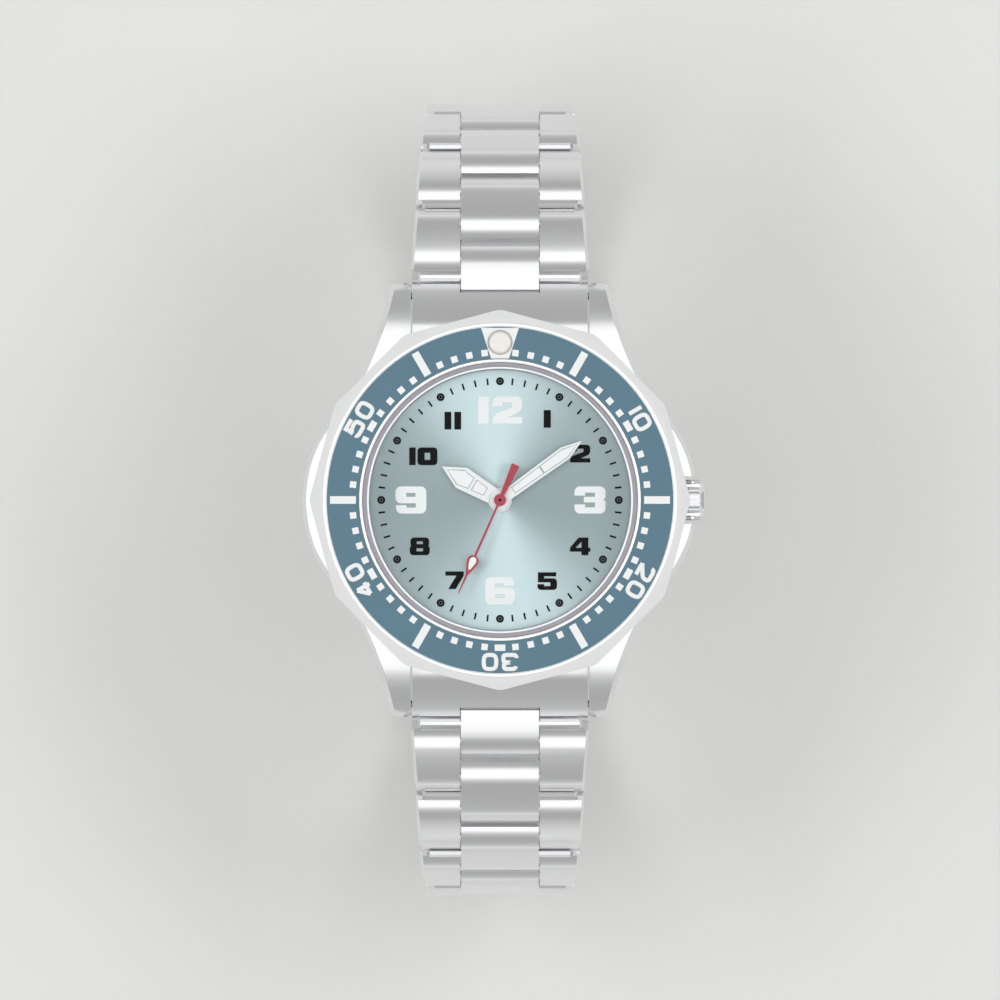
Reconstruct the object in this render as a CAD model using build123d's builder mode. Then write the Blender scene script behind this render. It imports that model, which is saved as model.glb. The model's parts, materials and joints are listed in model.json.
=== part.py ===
"""A diver-style wristwatch on a three-row steel bracelet, piece by piece.

Frame: millimetres. The origin is the centre of the case back's outer face, which lies on the wrist.
+Z runs out through the dial, +Y towards 12 o'clock and +X towards the crown at 3 o'clock.
"""

import os
from math import asin, cos, degrees, radians, sin, sqrt

from build123d import *

os.makedirs("parts", exist_ok=True)

# ---- clearances ----
press_gap = 0.02  # between pieces of one body that are pressed or laid together
running_gap = 0.06  # round a pin or shaft that turns
side_gap = 0.12  # beside a link or leaf that swings
bezel_gap = 0.10  # under and round the turning bezel

# ---- inside of the case: every round piece takes its radius from the cavity ----
cavity_radius = 15.1
ledge_inset = 0.4  # the ledge under the crystal stands in from the cavity
crystal_seat = 0.45
crystal_gasket_width = 0.25
neck_wall = 1.0
back_lip_wall = 0.8
back_seat = 0.9  # width of the step that the case back rests on
holder_gap = 0.2
holder_wall = 2.5
dial_gap = 0.1
chapter_foot = 0.5  # width of the ring round the dial where it stands on the dial
chapter_head = 0.15
ledge_radius = cavity_radius - ledge_inset
crystal_radius = ledge_radius + crystal_seat
neck_radius = crystal_radius + crystal_gasket_width + neck_wall
back_radius = cavity_radius + back_lip_wall + back_seat
holder_radius = cavity_radius - holder_gap
movement_radius = holder_radius - holder_wall
dial_radius = cavity_radius - dial_gap
chapter_inner_low = cavity_radius - chapter_foot
chapter_inner_high = cavity_radius - chapter_head

# ---- heights ----
back_proud = 0.5  # the case back stands this far below the case middle
back_thickness = 1.2
back_lip_height = 1.0
back_slope = 0.9
gasket_wire = 0.4
movement_bottom = 1.5
movement_top = 4.25
dial_bottom = 4.3
dial_thickness = 0.4
dial_top = dial_bottom + dial_thickness
case_top = 5.8
ledge_bottom = 7.0
ledge_top = 7.4
neck_top = 8.5
crystal_top = 9.6
crystal_chamfer = 0.25
crystal_gasket_top = 9.2

# ---- click spring under the bezel ----
click_ring_inset = 0.9
click_ring_width = 1.6
click_ring_inner = neck_radius + click_ring_inset
click_ring_outer = click_ring_inner + click_ring_width
click_depth = 0.2
click_width = 0.9
click_spring_thickness = 0.25
click_spring_gap = 0.05  # between the spring's top and the case's
click_spring_opening = 1.2
click_tab = (0.9, 1.6)

# ---- case ----
body_wall = 1.6  # outside the click spring's seat
body_radius = click_ring_outer + body_wall
end_wall = 0.3
case_wall_radius = click_ring_outer + end_wall  # the round wall that the end links fit against
flank_swell = 1.7  # how far the flanks bulge out of the round body
flank_reach = body_radius + flank_swell
flank_foot_inset = 1.6  # a point on the flanks' curve, in from their widest
flank_foot_x = flank_reach - flank_foot_inset
flank_foot_y = 6.7
first_pin_reach = 3.7  # from the round wall out to the spring bar
first_pin_y = case_wall_radius + first_pin_reach
first_pin_z = 2.0
lug_width = 20.0  # between the lugs
lug_overhang = 1.5  # past the spring bar
lug_tip_y = first_pin_y + lug_overhang
lug_tip_wall = 2.3
lug_tip_x = lug_width / 2 + lug_tip_wall
lug_tip_radius = 0.9
lug_tip_top = 3.3
lug_fall_length = 6.9  # how far back from the tip the top begins to fall
lug_fall_start_y = lug_tip_y - lug_fall_length
lug_overshoot = 0.5  # how far the curve is drawn past the tips
lug_waist_wall = 3.75  # half way down the lugs' outer sides
lug_root_wall = 6.35
lug_root_reach = 0.33  # where the lugs run out, just outside the round body
lug_root_x = lug_width / 2 + lug_root_wall
lug_root_y = sqrt((body_radius + lug_root_reach) ** 2 - lug_root_x**2)
lug_waist_x = lug_width / 2 + lug_waist_wall
lug_waist_y = (lug_tip_y + lug_root_y) / 2
lug_bottom = 0.45
case_bevel = 0.5
neck_groove_depth = 0.35
neck_groove_bottom = 6.8
neck_groove_top = 7.5
guard_notch = 2.62  # half width of the gap between the crown guards
guard_notch_inset = 0.15
guard_notch_floor = body_radius - guard_notch_inset
guard_flare_start = 0.7  # the guards' inner corners are cut back from this far inside the flank
guard_flare = 1.1

# ---- movement ----
battery_radius = 3.4
battery_height = 1.6
battery_offset = (-5.2, -5.4)
battery_gap = 0.1
battery_chamfer = 0.15
coil_recess_centre = (4.6, -6.2)
coil_recess_length = 9.0
coil_recess_width = 3.6
coil_recess_angle = 35
train_recess_centre = (-4.0, 6.4)
train_recess_length = 8.0
train_recess_width = 3.2
train_recess_angle = 30
recess_depth = 0.7

# ---- bezel ----
bezel_sides = 12
bezel_corner_fillet = 2.0
bezel_bottom = case_top + bezel_gap
bezel_shoulder = 7.7
bezel_lip_gap = 0.35
bezel_lip_wall = 0.28
insert_width = 3.72
bezel_rim_wall = 0.44
bezel_flat_reach = 0.71  # from the rim out to the flats
bezel_slope = 1.61  # from the rim out to the foot of the cone
bezel_lip_inner = crystal_radius + bezel_lip_gap
bezel_lip_outer = bezel_lip_inner + bezel_lip_wall
bezel_rim_inner = bezel_lip_outer + insert_width
bezel_rim_outer = bezel_rim_inner + bezel_rim_wall
bezel_flat_radius = bezel_rim_outer + bezel_flat_reach
bezel_cone_low = bezel_rim_outer + bezel_slope
bezel_rim_chamfer = 0.12
bezel_top = 9.3
bezel_floor_bottom = neck_top + bezel_gap
bezel_floor_top = 8.95
bezel_lip_top = 9.45
bezel_clicks = 60
insert_gap = 0.08
insert_top_outer = 9.28
insert_top_inner = 9.42
pip_radius = 1.45
pip_centre = (bezel_lip_outer + bezel_rim_inner) / 2
pip_top = 9.75
pip_round = 0.6

# ---- hands ----
hour_length = 7.57
hour_base = 1.77
hour_shoulder = 2.6
hour_shoulder_at = 5.0
hour_hub = 1.35
hour_bottom = 5.2
hour_angle = 60.0  # anticlockwise from 12
minute_length = 11.4
minute_base = 1.3
minute_shoulder = 1.6
minute_shoulder_at = 9.0
minute_hub = 1.1
minute_bottom = 5.65
minute_angle = -54.2
second_length = 11.5
second_width = 0.32
second_tail = 4.2
second_tail_width = 1.0
second_kite = (6.6, 7.5, 8.9)
second_kite_width = 1.0
second_hub = 0.68
second_bottom = 6.1
second_angle = 156.0
hand_thickness = 0.2
hour_pipe_outer = 0.8
hour_pipe_inner = 0.56
minute_pipe_outer = 0.5
minute_pipe_inner = 0.26
second_pipe_outer = 0.2
pipe_depth = 1.2  # how far the pipes reach down into the movement

# ---- crown ----
crown_height = 3.1
crown_radius = 2.3
crown_length = 2.35
crown_lift = 0.4  # between the crown and the floor of its notch
crown_inner_end = guard_notch_floor + crown_lift
crown_outer_end = crown_inner_end + crown_length
crown_grooves = 24
crown_groove_side = 0.3
crown_tube_outer = 1.1
crown_tube_inner = 0.7
crown_tube_back = 3.75  # how far the tube reaches into the case and into the crown
crown_tube_reach = 1.15
crown_tube_start = crown_inner_end - crown_tube_back
crown_tube_end = crown_inner_end + crown_tube_reach
stem_radius = 0.45
stem_depth = 2.2
stem_start = movement_radius - stem_depth
crown_chamfer = 0.18
crown_cap = 0.75  # the smooth end beyond the grooves
crown_clearance = 0.15  # between the tube's end and the crown
crown_gasket_wall = 0.35
crown_gasket_length = 0.25
crown_gasket_start = crown_inner_end + click_spring_gap
crown_bore = crown_tube_outer + crown_gasket_wall

# ---- bracelet ----
first_link_start = 0.6  # the first centre link's body begins this far past the spring bar
links_per_side = 15  # 8 centre links and 7 outer pairs
pin_spacing = 4.15
pin_radius = 0.5
pin_end_inset = 1.0  # the pins end this far inside the narrower rim
first_tilt = 4.3
upper_curl = 12.0  # curl at each pin in the closed loop, as far as the side of the wrist
lower_curl = 11.0  # curl at each pin below it
upper_links = 8
centre_width = 8.74
outer_end_radius = 1.6
centre_end_radius = 1.85
link_rise = 1.45  # from the pin line to the crest
link_drop = 1.35  # from the pin line to the flat underside
link_relief = 0.85  # how far the underside is set back at each end
crest_radius = 20.0
crest_half = 1.5  # half length of the crest, before the ends roll over
shoulder_radius = 3.3
taper_per_link = 1.03
narrowest = 16.0
bar_radius = 0.52
bar_sides = 8
bar_rise = 0.7
bar_end_from_rim = 1.05
rim_tab_width = 0.7
rim_tab_inset = 0.08
rim_tab_reach = 4.35
rim_tab_half_height = 0.38
link_corner = 0.35
rim_bevel = 0.32  # along the outer links' rims

# ---- end links and spring bars ----
end_link_gap = 0.15
end_link_flat = 0.4  # from the round wall to where the top begins to fall
end_link_top_y = case_wall_radius + end_link_flat
end_link_drop = 0.25
end_link_top_z = case_top - end_link_drop
end_link_brow = 1.2  # past the spring bar, where the top turns down
end_link_bulge = 0.2
end_groove_width = 0.22
end_groove_depth = 0.18
roof_overhang = 0.35  # past the spring bar
roof_end_y = first_pin_y + roof_overhang
knuckle_radius = 1.15
knuckle_gap = 0.15
spring_bar_radius = 0.75
spring_bar_tip_radius = 0.4
spring_bar_tip_reach = 0.8

# ---- clasp: w is counted from the curve through its two end pins, outward ----
clasp_curve = 95.0
clasp_width = 16.0
cover_outer = 1.5  # w of the cover's outside
cover_inner = 0.7  # w of the underside of its plate
cover_wall = 0.9
cover_wall_low = -0.95
cover_root = 1.2  # solid plate left beside each fork
cover_mouth = 1.9  # the slot that the long leaf swings up into
fork_gap = 4.6  # half width of the forks that take the last centre links
fork_outer = 1.45
fork_depth = 2.394  # from the end pins back to the forks' roots
block_depth = 3.944
leaf_width = 8.4
long_leaf = (-0.35, 0.45)  # w of its two faces
short_leaf = (-1.3, -0.5)
hinge_gap = 0.15  # between the knuckles
middle_knuckle = 1.6  # half width
cover_hinge_y = 19.2
cover_hinge_pin = 0.35
leaf_hinge_y = -18.0
leaf_slot_width = 3.4
short_leaf_slot = 26.0
long_leaf_slot = 24.0
long_leaf_slot_centre = 1.5
clasp_depth = 12.0  # deep enough to cut through the curved leaves
fork_wall = 0.5  # left outside a pin's end
button_y = -10.5
button_length = 4.2
button_height = 1.0
button_inner = 5.6
button_travel = 0.6
button_rest = 0.15  # what still stands out when a button is pushed home
button_proud = button_travel + button_rest
clasp_bar_tip_radius = 0.35
clasp_bar_tip_depth = 1.4
button_corner = 0.3
button_edge = 0.2

pieces = {}


def keep(name, piece):
    """Label a finished piece and write its file."""
    piece.label = name
    export_step(piece, f"parts/{name}.step")
    pieces[name] = piece


# =====================================================================================
# Case
# =====================================================================================

with BuildPart() as case_middle:
    with BuildSketch(Plane.XY.offset(back_proud)):
        Circle(case_wall_radius)
        # both lugs and the flank of one side, as one outline
        tip_foot_y = lug_tip_y - lug_tip_radius / 3
        with BuildLine():
            Line((lug_width / 2, -tip_foot_y), (lug_width / 2, tip_foot_y))
            for side_y in (1, -1):
                tip_in = (lug_width / 2, side_y * tip_foot_y)
                tip_mid = ((lug_width / 2 + lug_tip_x) / 2, side_y * lug_tip_y)
                ThreePointArc(tip_in, tip_mid, (lug_tip_x, side_y * tip_foot_y))
            Spline(
                (lug_tip_x, tip_foot_y),
                (lug_waist_x, lug_waist_y),
                (lug_root_x, lug_root_y),
                (flank_foot_x, flank_foot_y),
                (flank_reach, 0),
                (flank_foot_x, -flank_foot_y),
                (lug_root_x, -lug_root_y),
                (lug_waist_x, -lug_waist_y),
                (lug_tip_x, -tip_foot_y),
            )
        make_face()
        mirror(about=Plane.YZ)
    extrude(amount=case_top - back_proud)
    # the lugs fall away in a long curve, and their undersides are hollowed a little
    with BuildSketch(Plane.YZ):
        with BuildLine():
            fall_end_y = lug_tip_y + lug_overshoot
            fall_end_z = lug_tip_top - 0.4 * lug_overshoot
            Line((-lug_fall_start_y, case_top), (lug_fall_start_y, case_top))
            TangentArc((lug_fall_start_y, case_top), (fall_end_y, fall_end_z), tangent=(1, 0))
            Line((fall_end_y, fall_end_z), (fall_end_y, lug_bottom))
            Line((fall_end_y, lug_bottom), (-fall_end_y, lug_bottom))
            Line((-fall_end_y, lug_bottom), (-fall_end_y, fall_end_z))
            TangentArc((-lug_fall_start_y, case_top), (-fall_end_y, fall_end_z), tangent=(-1, 0))
        make_face()
    extrude(amount=flank_reach + lug_overshoot, both=True, mode=Mode.INTERSECT)
    # broad polished bevel along the top of the lugs, the flank and the crown guards
    outer_edges = case_middle.edges().filter_by(
        lambda edge: edge.bounding_box().min.Z > lug_tip_top / 2
        and abs(edge.center().X) > lug_width / 2 + case_bevel
    )
    chamfer(outer_edges, case_bevel)
    # neck that carries the crystal and the bezel
    with BuildSketch(Plane.XY.offset(case_top)):
        Circle(neck_radius)
    extrude(amount=neck_top - case_top)
    # holes for the spring bars' tips
    for side_x in (1, -1):
        with BuildSketch(Plane.YZ.offset(side_x * lug_width / 2)):
            with Locations((first_pin_y, first_pin_z), (-first_pin_y, first_pin_z)):
                Circle(spring_bar_tip_radius + running_gap)
        extrude(amount=side_x * (spring_bar_tip_reach + end_link_gap), mode=Mode.SUBTRACT)
    # inside: case back seat, cavity, crystal seat and the bezel's retaining groove
    with BuildSketch(Plane.XZ):
        with BuildLine():
            Polyline(
                (0, 0),
                (back_radius + press_gap, 0),
                (back_radius + press_gap, back_thickness),
                (cavity_radius + back_lip_wall, back_thickness),
                (cavity_radius + back_lip_wall, back_thickness + back_lip_height + gasket_wire),
                (cavity_radius, back_thickness + back_lip_height + gasket_wire),
                (cavity_radius, ledge_bottom),
                (ledge_radius, ledge_bottom),
                (ledge_radius, ledge_top),
                (crystal_radius + crystal_gasket_width, ledge_top),
                (crystal_radius + crystal_gasket_width, neck_top + 1),
                (0, neck_top + 1),
                close=True,
            )
        make_face()
    revolve(axis=Axis.Z, mode=Mode.SUBTRACT)
    with BuildSketch(Plane.XZ):
        with BuildLine():
            Polyline(
                (neck_radius - neck_groove_depth, neck_groove_bottom),
                (neck_radius + neck_groove_depth, neck_groove_bottom),
                (neck_radius + neck_groove_depth, neck_groove_top),
                (neck_radius - neck_groove_depth, neck_groove_top),
                close=True,
            )
        make_face()
    revolve(axis=Axis.Z, mode=Mode.SUBTRACT)
    # seat of the click spring under the bezel
    with BuildSketch(Plane.XY.offset(case_top - click_spring_thickness - click_spring_gap)):
        Circle(click_ring_outer + bezel_gap)
        Circle(click_ring_inner - bezel_gap, mode=Mode.SUBTRACT)
    extrude(amount=1, mode=Mode.SUBTRACT)
    # gap between the crown guards, and the bore for the crown tube
    with BuildSketch(Plane.XY.offset(back_proud)):
        with BuildLine():
            Polyline(
                (guard_notch_floor, -guard_notch),
                (flank_reach - guard_flare_start, -guard_notch),
                (flank_reach + guard_flare_start, -guard_notch - guard_flare),
                (flank_reach + guard_flare_start, guard_notch + guard_flare),
                (flank_reach - guard_flare_start, guard_notch),
                (guard_notch_floor, guard_notch),
                close=True,
            )
        make_face()
    extrude(amount=case_top, mode=Mode.SUBTRACT)
    with BuildSketch(Plane.YZ):
        with Locations((0, crown_height)):
            Circle(crown_tube_outer + press_gap)
    extrude(amount=flank_reach, mode=Mode.SUBTRACT)
keep("case_middle", case_middle.part)

with BuildPart() as case_back:
    with BuildSketch(Plane.XZ):
        with BuildLine():
            Polyline(
                (0, 0),
                (back_radius - back_slope, 0),
                (back_radius, back_proud),
                (back_radius, back_thickness),
                (cavity_radius + back_lip_wall - press_gap, back_thickness),
                (cavity_radius + back_lip_wall - press_gap, back_thickness + back_lip_height),
                (cavity_radius, back_thickness + back_lip_height),
                (cavity_radius, back_thickness),
                (0, back_thickness),
                close=True,
            )
        make_face()
    revolve(axis=Axis.Z)
keep("case_back", case_back.part)

with BuildPart() as case_back_gasket:
    with BuildSketch(Plane.XY.offset(back_thickness + back_lip_height + press_gap)):
        Circle(cavity_radius + back_lip_wall - press_gap)
        Circle(cavity_radius + press_gap, mode=Mode.SUBTRACT)
    extrude(amount=gasket_wire - 2 * press_gap)
keep("case_back_gasket", case_back_gasket.part)

with BuildPart() as movement_holder:
    with BuildSketch(Plane.XY.offset(back_thickness + press_gap)):
        Circle(holder_radius)
        Circle(movement_radius + 2 * press_gap, mode=Mode.SUBTRACT)
    extrude(amount=dial_bottom - back_thickness - 2 * press_gap)
    with BuildSketch(Plane.YZ):
        with Locations((0, crown_height)):
            Circle(crown_tube_outer)
    extrude(amount=holder_radius, mode=Mode.SUBTRACT)
keep("movement_holder", movement_holder.part)

with BuildPart() as movement:
    with BuildSketch(Plane.XY.offset(movement_bottom)):
        Circle(movement_radius)
    extrude(amount=movement_top - movement_bottom)
    with BuildSketch(Plane.XY.offset(movement_bottom)):
        with Locations(battery_offset):
            Circle(battery_radius + battery_gap)
    extrude(amount=battery_height + press_gap, mode=Mode.SUBTRACT)
    # recesses that leave the coil, the train bridge and the circuit standing
    with BuildSketch(Plane.XY.offset(movement_bottom)):
        with Locations(coil_recess_centre):
            SlotOverall(coil_recess_length, coil_recess_width, rotation=coil_recess_angle)
        with Locations(train_recess_centre):
            SlotOverall(train_recess_length, train_recess_width, rotation=train_recess_angle)
    extrude(amount=recess_depth, mode=Mode.SUBTRACT)
    with BuildSketch(Plane.XY.offset(movement_top - pipe_depth)):
        Circle(hour_pipe_outer + running_gap)
    extrude(amount=pipe_depth, mode=Mode.SUBTRACT)
    with BuildSketch(Plane.YZ.offset(stem_start - running_gap)):
        with Locations((0, crown_height)):
            Circle(stem_radius + running_gap)
    extrude(amount=movement_radius, mode=Mode.SUBTRACT)
keep("movement", movement.part)

with BuildPart() as battery:
    with BuildSketch(Plane.XY.offset(movement_bottom - battery_gap)):
        with Locations(battery_offset):
            Circle(battery_radius)
    extrude(amount=battery_height)
    chamfer(battery.edges().filter_by(GeomType.CIRCLE), battery_chamfer)
keep("battery", battery.part)

with BuildPart() as dial:
    with BuildSketch(Plane.XY.offset(dial_bottom)):
        Circle(dial_radius)
        Circle(hour_pipe_outer + running_gap, mode=Mode.SUBTRACT)
    extrude(amount=dial_thickness)
keep("dial", dial.part)

with BuildPart() as chapter_ring:
    with BuildSketch(Plane.XZ):
        with BuildLine():
            Polyline(
                (chapter_inner_low, dial_top + press_gap),
                (cavity_radius - press_gap, dial_top + press_gap),
                (cavity_radius - press_gap, ledge_bottom - press_gap),
                (chapter_inner_high, ledge_bottom - press_gap),
                close=True,
            )
        make_face()
    revolve(axis=Axis.Z)
keep("chapter_ring", chapter_ring.part)

with BuildPart() as crystal:
    with BuildSketch(Plane.XY.offset(ledge_top + press_gap)):
        Circle(crystal_radius)
    extrude(amount=crystal_top - ledge_top - press_gap)
    chamfer(crystal.faces().sort_by(Axis.Z)[-1].edges(), crystal_chamfer)
keep("crystal", crystal.part)

with BuildPart() as crystal_gasket:
    with BuildSketch(Plane.XY.offset(ledge_top + press_gap)):
        Circle(crystal_radius + crystal_gasket_width - press_gap)
        Circle(crystal_radius + press_gap, mode=Mode.SUBTRACT)
    extrude(amount=crystal_gasket_top - ledge_top - press_gap)
keep("crystal_gasket", crystal_gasket.part)

# =====================================================================================
# Bezel
# =====================================================================================

with BuildPart() as bezel_ring:
    with BuildSketch(Plane.XY.offset(bezel_bottom)):
        RegularPolygon(bezel_flat_radius, bezel_sides, major_radius=False, rotation=0)
        fillet(vertices(), bezel_corner_fillet)
    extrude(amount=bezel_top - bezel_bottom)
    snap_radius = neck_radius - neck_groove_depth + bezel_gap  # the lip that snaps into the groove
    # a cone cuts the facets, so each one ends in a curved edge under the round rim
    with BuildSketch(Plane.XZ):
        with BuildLine():
            Polyline(
                (0, bezel_bottom - 0.1),
                (bezel_cone_low, bezel_bottom - 0.1),
                (bezel_cone_low, bezel_shoulder),
                (bezel_rim_outer, bezel_top - bezel_rim_chamfer),
                (bezel_rim_outer - bezel_rim_chamfer, bezel_top),
                (0, bezel_top),
                close=True,
            )
        make_face()
    revolve(axis=Axis.Z, mode=Mode.INTERSECT)
    with BuildSketch(Plane.XZ):
        with BuildLine():
            Polyline(
                (bezel_lip_inner, bezel_floor_bottom),
                (neck_radius + bezel_gap, bezel_floor_bottom),
                (neck_radius + bezel_gap, neck_groove_top - bezel_gap),
                (snap_radius, neck_groove_top - 2 * bezel_gap),
                (snap_radius, neck_groove_bottom + 2 * bezel_gap),
                (neck_radius + bezel_gap, neck_groove_bottom + bezel_gap),
                (neck_radius + bezel_gap, bezel_bottom - 0.2),
                (0, bezel_bottom - 0.2),
                (0, bezel_top + 1),
                (bezel_lip_inner, bezel_top + 1),
                close=True,
            )
        make_face()
    revolve(axis=Axis.Z, mode=Mode.SUBTRACT)
    with BuildSketch(Plane.XY.offset(bezel_floor_top)):
        Circle(bezel_rim_inner)
        Circle(bezel_lip_outer, mode=Mode.SUBTRACT)
    extrude(amount=2, mode=Mode.SUBTRACT)
    with BuildSketch(Plane.XY.offset(bezel_floor_top)):
        Circle(bezel_lip_outer)
        Circle(bezel_lip_inner, mode=Mode.SUBTRACT)
    extrude(amount=bezel_lip_top - bezel_floor_top)
    # click teeth underneath
    with BuildSketch(Plane.XY.offset(bezel_bottom)):
        with PolarLocations((click_ring_inner + click_ring_outer) / 2, bezel_clicks):
            Rectangle(click_ring_outer - click_ring_inner, click_width)
    extrude(amount=click_depth, mode=Mode.SUBTRACT)
keep("bezel_ring", bezel_ring.part)

with BuildPart() as bezel_insert:
    with BuildSketch(Plane.XZ):
        with BuildLine():
            Polyline(
                (bezel_lip_outer + press_gap, bezel_floor_top),
                (bezel_rim_inner - insert_gap, bezel_floor_top),
                (bezel_rim_inner - insert_gap, insert_top_outer),
                (bezel_lip_outer + press_gap, insert_top_inner),
                close=True,
            )
        make_face()
    revolve(axis=Axis.Z)
    with BuildSketch(Plane.XY.offset(bezel_floor_top)):
        with Locations((0, pip_centre)):
            Circle(pip_radius + press_gap)
    extrude(amount=1, mode=Mode.SUBTRACT)
keep("bezel_insert", bezel_insert.part)

with BuildPart() as bezel_pip:
    with BuildSketch(Plane.XY.offset(bezel_floor_top)):
        with Locations((0, pip_centre)):
            Circle(pip_radius)
    extrude(amount=pip_top - bezel_floor_top)
    fillet(bezel_pip.faces().sort_by(Axis.Z)[-1].edges(), pip_round)
keep("bezel_pip", bezel_pip.part)

with BuildPart() as bezel_click_spring:
    spring_bottom = case_top - click_spring_thickness - click_spring_gap
    with BuildSketch(Plane.XY.offset(spring_bottom)):
        Circle(click_ring_outer)
        Circle(click_ring_inner, mode=Mode.SUBTRACT)
        with Locations((0, -(click_ring_inner + click_ring_outer) / 2)):
            Rectangle(click_spring_opening, click_ring_outer - click_ring_inner + 1, mode=Mode.SUBTRACT)
    extrude(amount=click_spring_thickness)
    # the raised tab whose end rides on the teeth
    with BuildSketch(Plane.XY.offset(spring_bottom)):
        with Locations(((click_ring_inner + click_ring_outer) / 2, 0)):
            Rectangle(*click_tab)
    extrude(amount=click_spring_thickness + 2 * click_spring_gap)
keep("bezel_click_spring", bezel_click_spring.part)

# =====================================================================================
# Hands: each is drawn pointing to 12 and turned about the dial's centre
# =====================================================================================


def turned(angle, height):
    """A plane over the dial, turned anticlockwise by the angle in degrees."""
    return Plane(origin=(0, 0, height), x_dir=(cos(radians(angle)), sin(radians(angle)), 0), z_dir=(0, 0, 1))


def obelisk_hand(plane, length, base, shoulder, shoulder_at, hub, pipe_outer, pipe_inner):
    """A hand that widens to its shoulder and comes to a point, on the pipe it is pressed on."""
    with BuildPart() as hand:
        with BuildSketch(plane):
            Circle(hub)
            with BuildLine():
                Polyline(
                    (base / 2, 0),
                    (shoulder / 2, shoulder_at),
                    (0, length),
                    (-shoulder / 2, shoulder_at),
                    (-base / 2, 0),
                    close=True,
                )
            make_face()
        extrude(amount=hand_thickness)
        with BuildSketch(Plane.XY.offset(movement_top - pipe_depth + running_gap)):
            Circle(pipe_outer)
        extrude(amount=plane.origin.Z - movement_top + pipe_depth)
        with BuildSketch(Plane.XY):
            Circle(pipe_inner)
        extrude(amount=crystal_top, mode=Mode.SUBTRACT)
    return hand.part


keep(
    "hour_hand",
    obelisk_hand(
        turned(hour_angle, hour_bottom),
        hour_length,
        hour_base,
        hour_shoulder,
        hour_shoulder_at,
        hour_hub,
        hour_pipe_outer,
        hour_pipe_inner,
    ),
)
keep(
    "minute_hand",
    obelisk_hand(
        turned(minute_angle, minute_bottom),
        minute_length,
        minute_base,
        minute_shoulder,
        minute_shoulder_at,
        minute_hub,
        minute_pipe_outer,
        minute_pipe_inner,
    ),
)

with BuildPart() as second_hand:
    with BuildSketch(turned(second_angle, second_bottom)):
        Circle(second_hub)
        with BuildLine():
            Polyline(
                (second_width / 2, 0),
                (second_width / 4, second_length),
                (-second_width / 4, second_length),
                (-second_width / 2, 0),
                (-second_tail_width / 2, -second_tail),
                (second_tail_width / 2, -second_tail),
                close=True,
            )
        make_face()
        with Locations((0, -second_tail)):
            Circle(second_tail_width / 2)
        with BuildLine():
            Polyline(
                (0, second_kite[0]),
                (second_kite_width / 2, second_kite[1]),
                (0, second_kite[2]),
                (-second_kite_width / 2, second_kite[1]),
                close=True,
            )
        make_face()
    extrude(amount=hand_thickness)
    with BuildSketch(Plane.XY.offset(movement_top - pipe_depth + running_gap)):
        Circle(second_pipe_outer)
    extrude(amount=second_bottom - movement_top + pipe_depth)
keep("second_hand", second_hand.part)

# =====================================================================================
# Crown
# =====================================================================================

with BuildPart() as crown_tube:
    with BuildSketch(Plane.YZ.offset(crown_tube_start)):
        with Locations((0, crown_height)):
            Circle(crown_tube_outer)
            Circle(crown_tube_inner, mode=Mode.SUBTRACT)
    extrude(amount=crown_tube_end - crown_tube_start)
keep("crown_tube", crown_tube.part)

crown_axis = Axis((0, 0, crown_height), (1, 0, 0))
with BuildPart() as crown:
    with BuildSketch(Plane.XZ):
        with BuildLine():
            Polyline(
                (crown_inner_end, crown_height),
                (crown_inner_end, crown_height + crown_radius - crown_chamfer),
                (crown_inner_end + crown_chamfer, crown_height + crown_radius),
                (crown_outer_end - crown_cap, crown_height + crown_radius),
                (crown_outer_end - crown_cap + crown_chamfer, crown_height + crown_radius - crown_chamfer),
                (crown_outer_end - crown_chamfer, crown_height + crown_radius - 2 * crown_chamfer),
                (crown_outer_end, crown_height + crown_radius - crown_cap),
                (crown_outer_end, crown_height),
                close=True,
            )
        make_face()
    revolve(axis=crown_axis)
    with BuildSketch(Plane.YZ.offset(crown_inner_end)):
        with Locations((0, crown_height)):
            Circle(crown_bore)
    extrude(amount=crown_tube_end - crown_inner_end + crown_clearance, mode=Mode.SUBTRACT)
    with BuildSketch(Plane.YZ.offset(crown_inner_end)):
        with Locations((0, crown_height)):
            with PolarLocations(crown_radius, crown_grooves):
                Rectangle(crown_groove_side, crown_groove_side, rotation=45)
    extrude(amount=crown_outer_end - crown_inner_end - crown_cap + crown_chamfer, mode=Mode.SUBTRACT)
keep("crown", crown.part)

with BuildPart() as crown_stem:
    with BuildSketch(Plane.YZ.offset(stem_start)):
        with Locations((0, crown_height)):
            Circle(stem_radius)
    extrude(amount=crown_tube_end + crown_clearance - stem_start)
keep("crown_stem", crown_stem.part)

with BuildPart() as crown_gasket:
    with BuildSketch(Plane.YZ.offset(crown_gasket_start)):
        with Locations((0, crown_height)):
            Circle(crown_bore - press_gap)
            Circle(crown_tube_outer + press_gap, mode=Mode.SUBTRACT)
    extrude(amount=crown_gasket_length)
keep("crown_gasket", crown_gasket.part)

# =====================================================================================
# Bracelet
# =====================================================================================


def chain_plane(side, y, z, tilt):
    """A link's side view: x runs along the link away from the case, y out of the bracelet."""
    return Plane(
        origin=(0, side * y, z),
        x_dir=(0, side * cos(radians(tilt)), -sin(radians(tilt))),
        z_dir=(side, 0, 0),
    )


def plan_plane(side, y, z, tilt):
    """The same link seen from outside the bracelet: y runs along the link away from the case."""
    return Plane(
        origin=(0, side * y, z),
        x_dir=(side, 0, 0),
        z_dir=(0, side * sin(radians(tilt)), cos(radians(tilt))),
    )


def link_tilt(index):
    """How far the link is tilted below the dial's plane in the closed loop."""
    upper = min(index, upper_links - 1)
    lower = index - upper
    return first_tilt + upper * upper_curl + lower * lower_curl


def pin_place(index):
    """The place of a pin in the side view; pin 0 is the spring bar between the lugs."""
    y, z = first_pin_y, first_pin_z
    for before in range(index):
        tilt = radians(link_tilt(before))
        y += pin_spacing * cos(tilt)
        z -= pin_spacing * sin(tilt)
    return y, z


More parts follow.
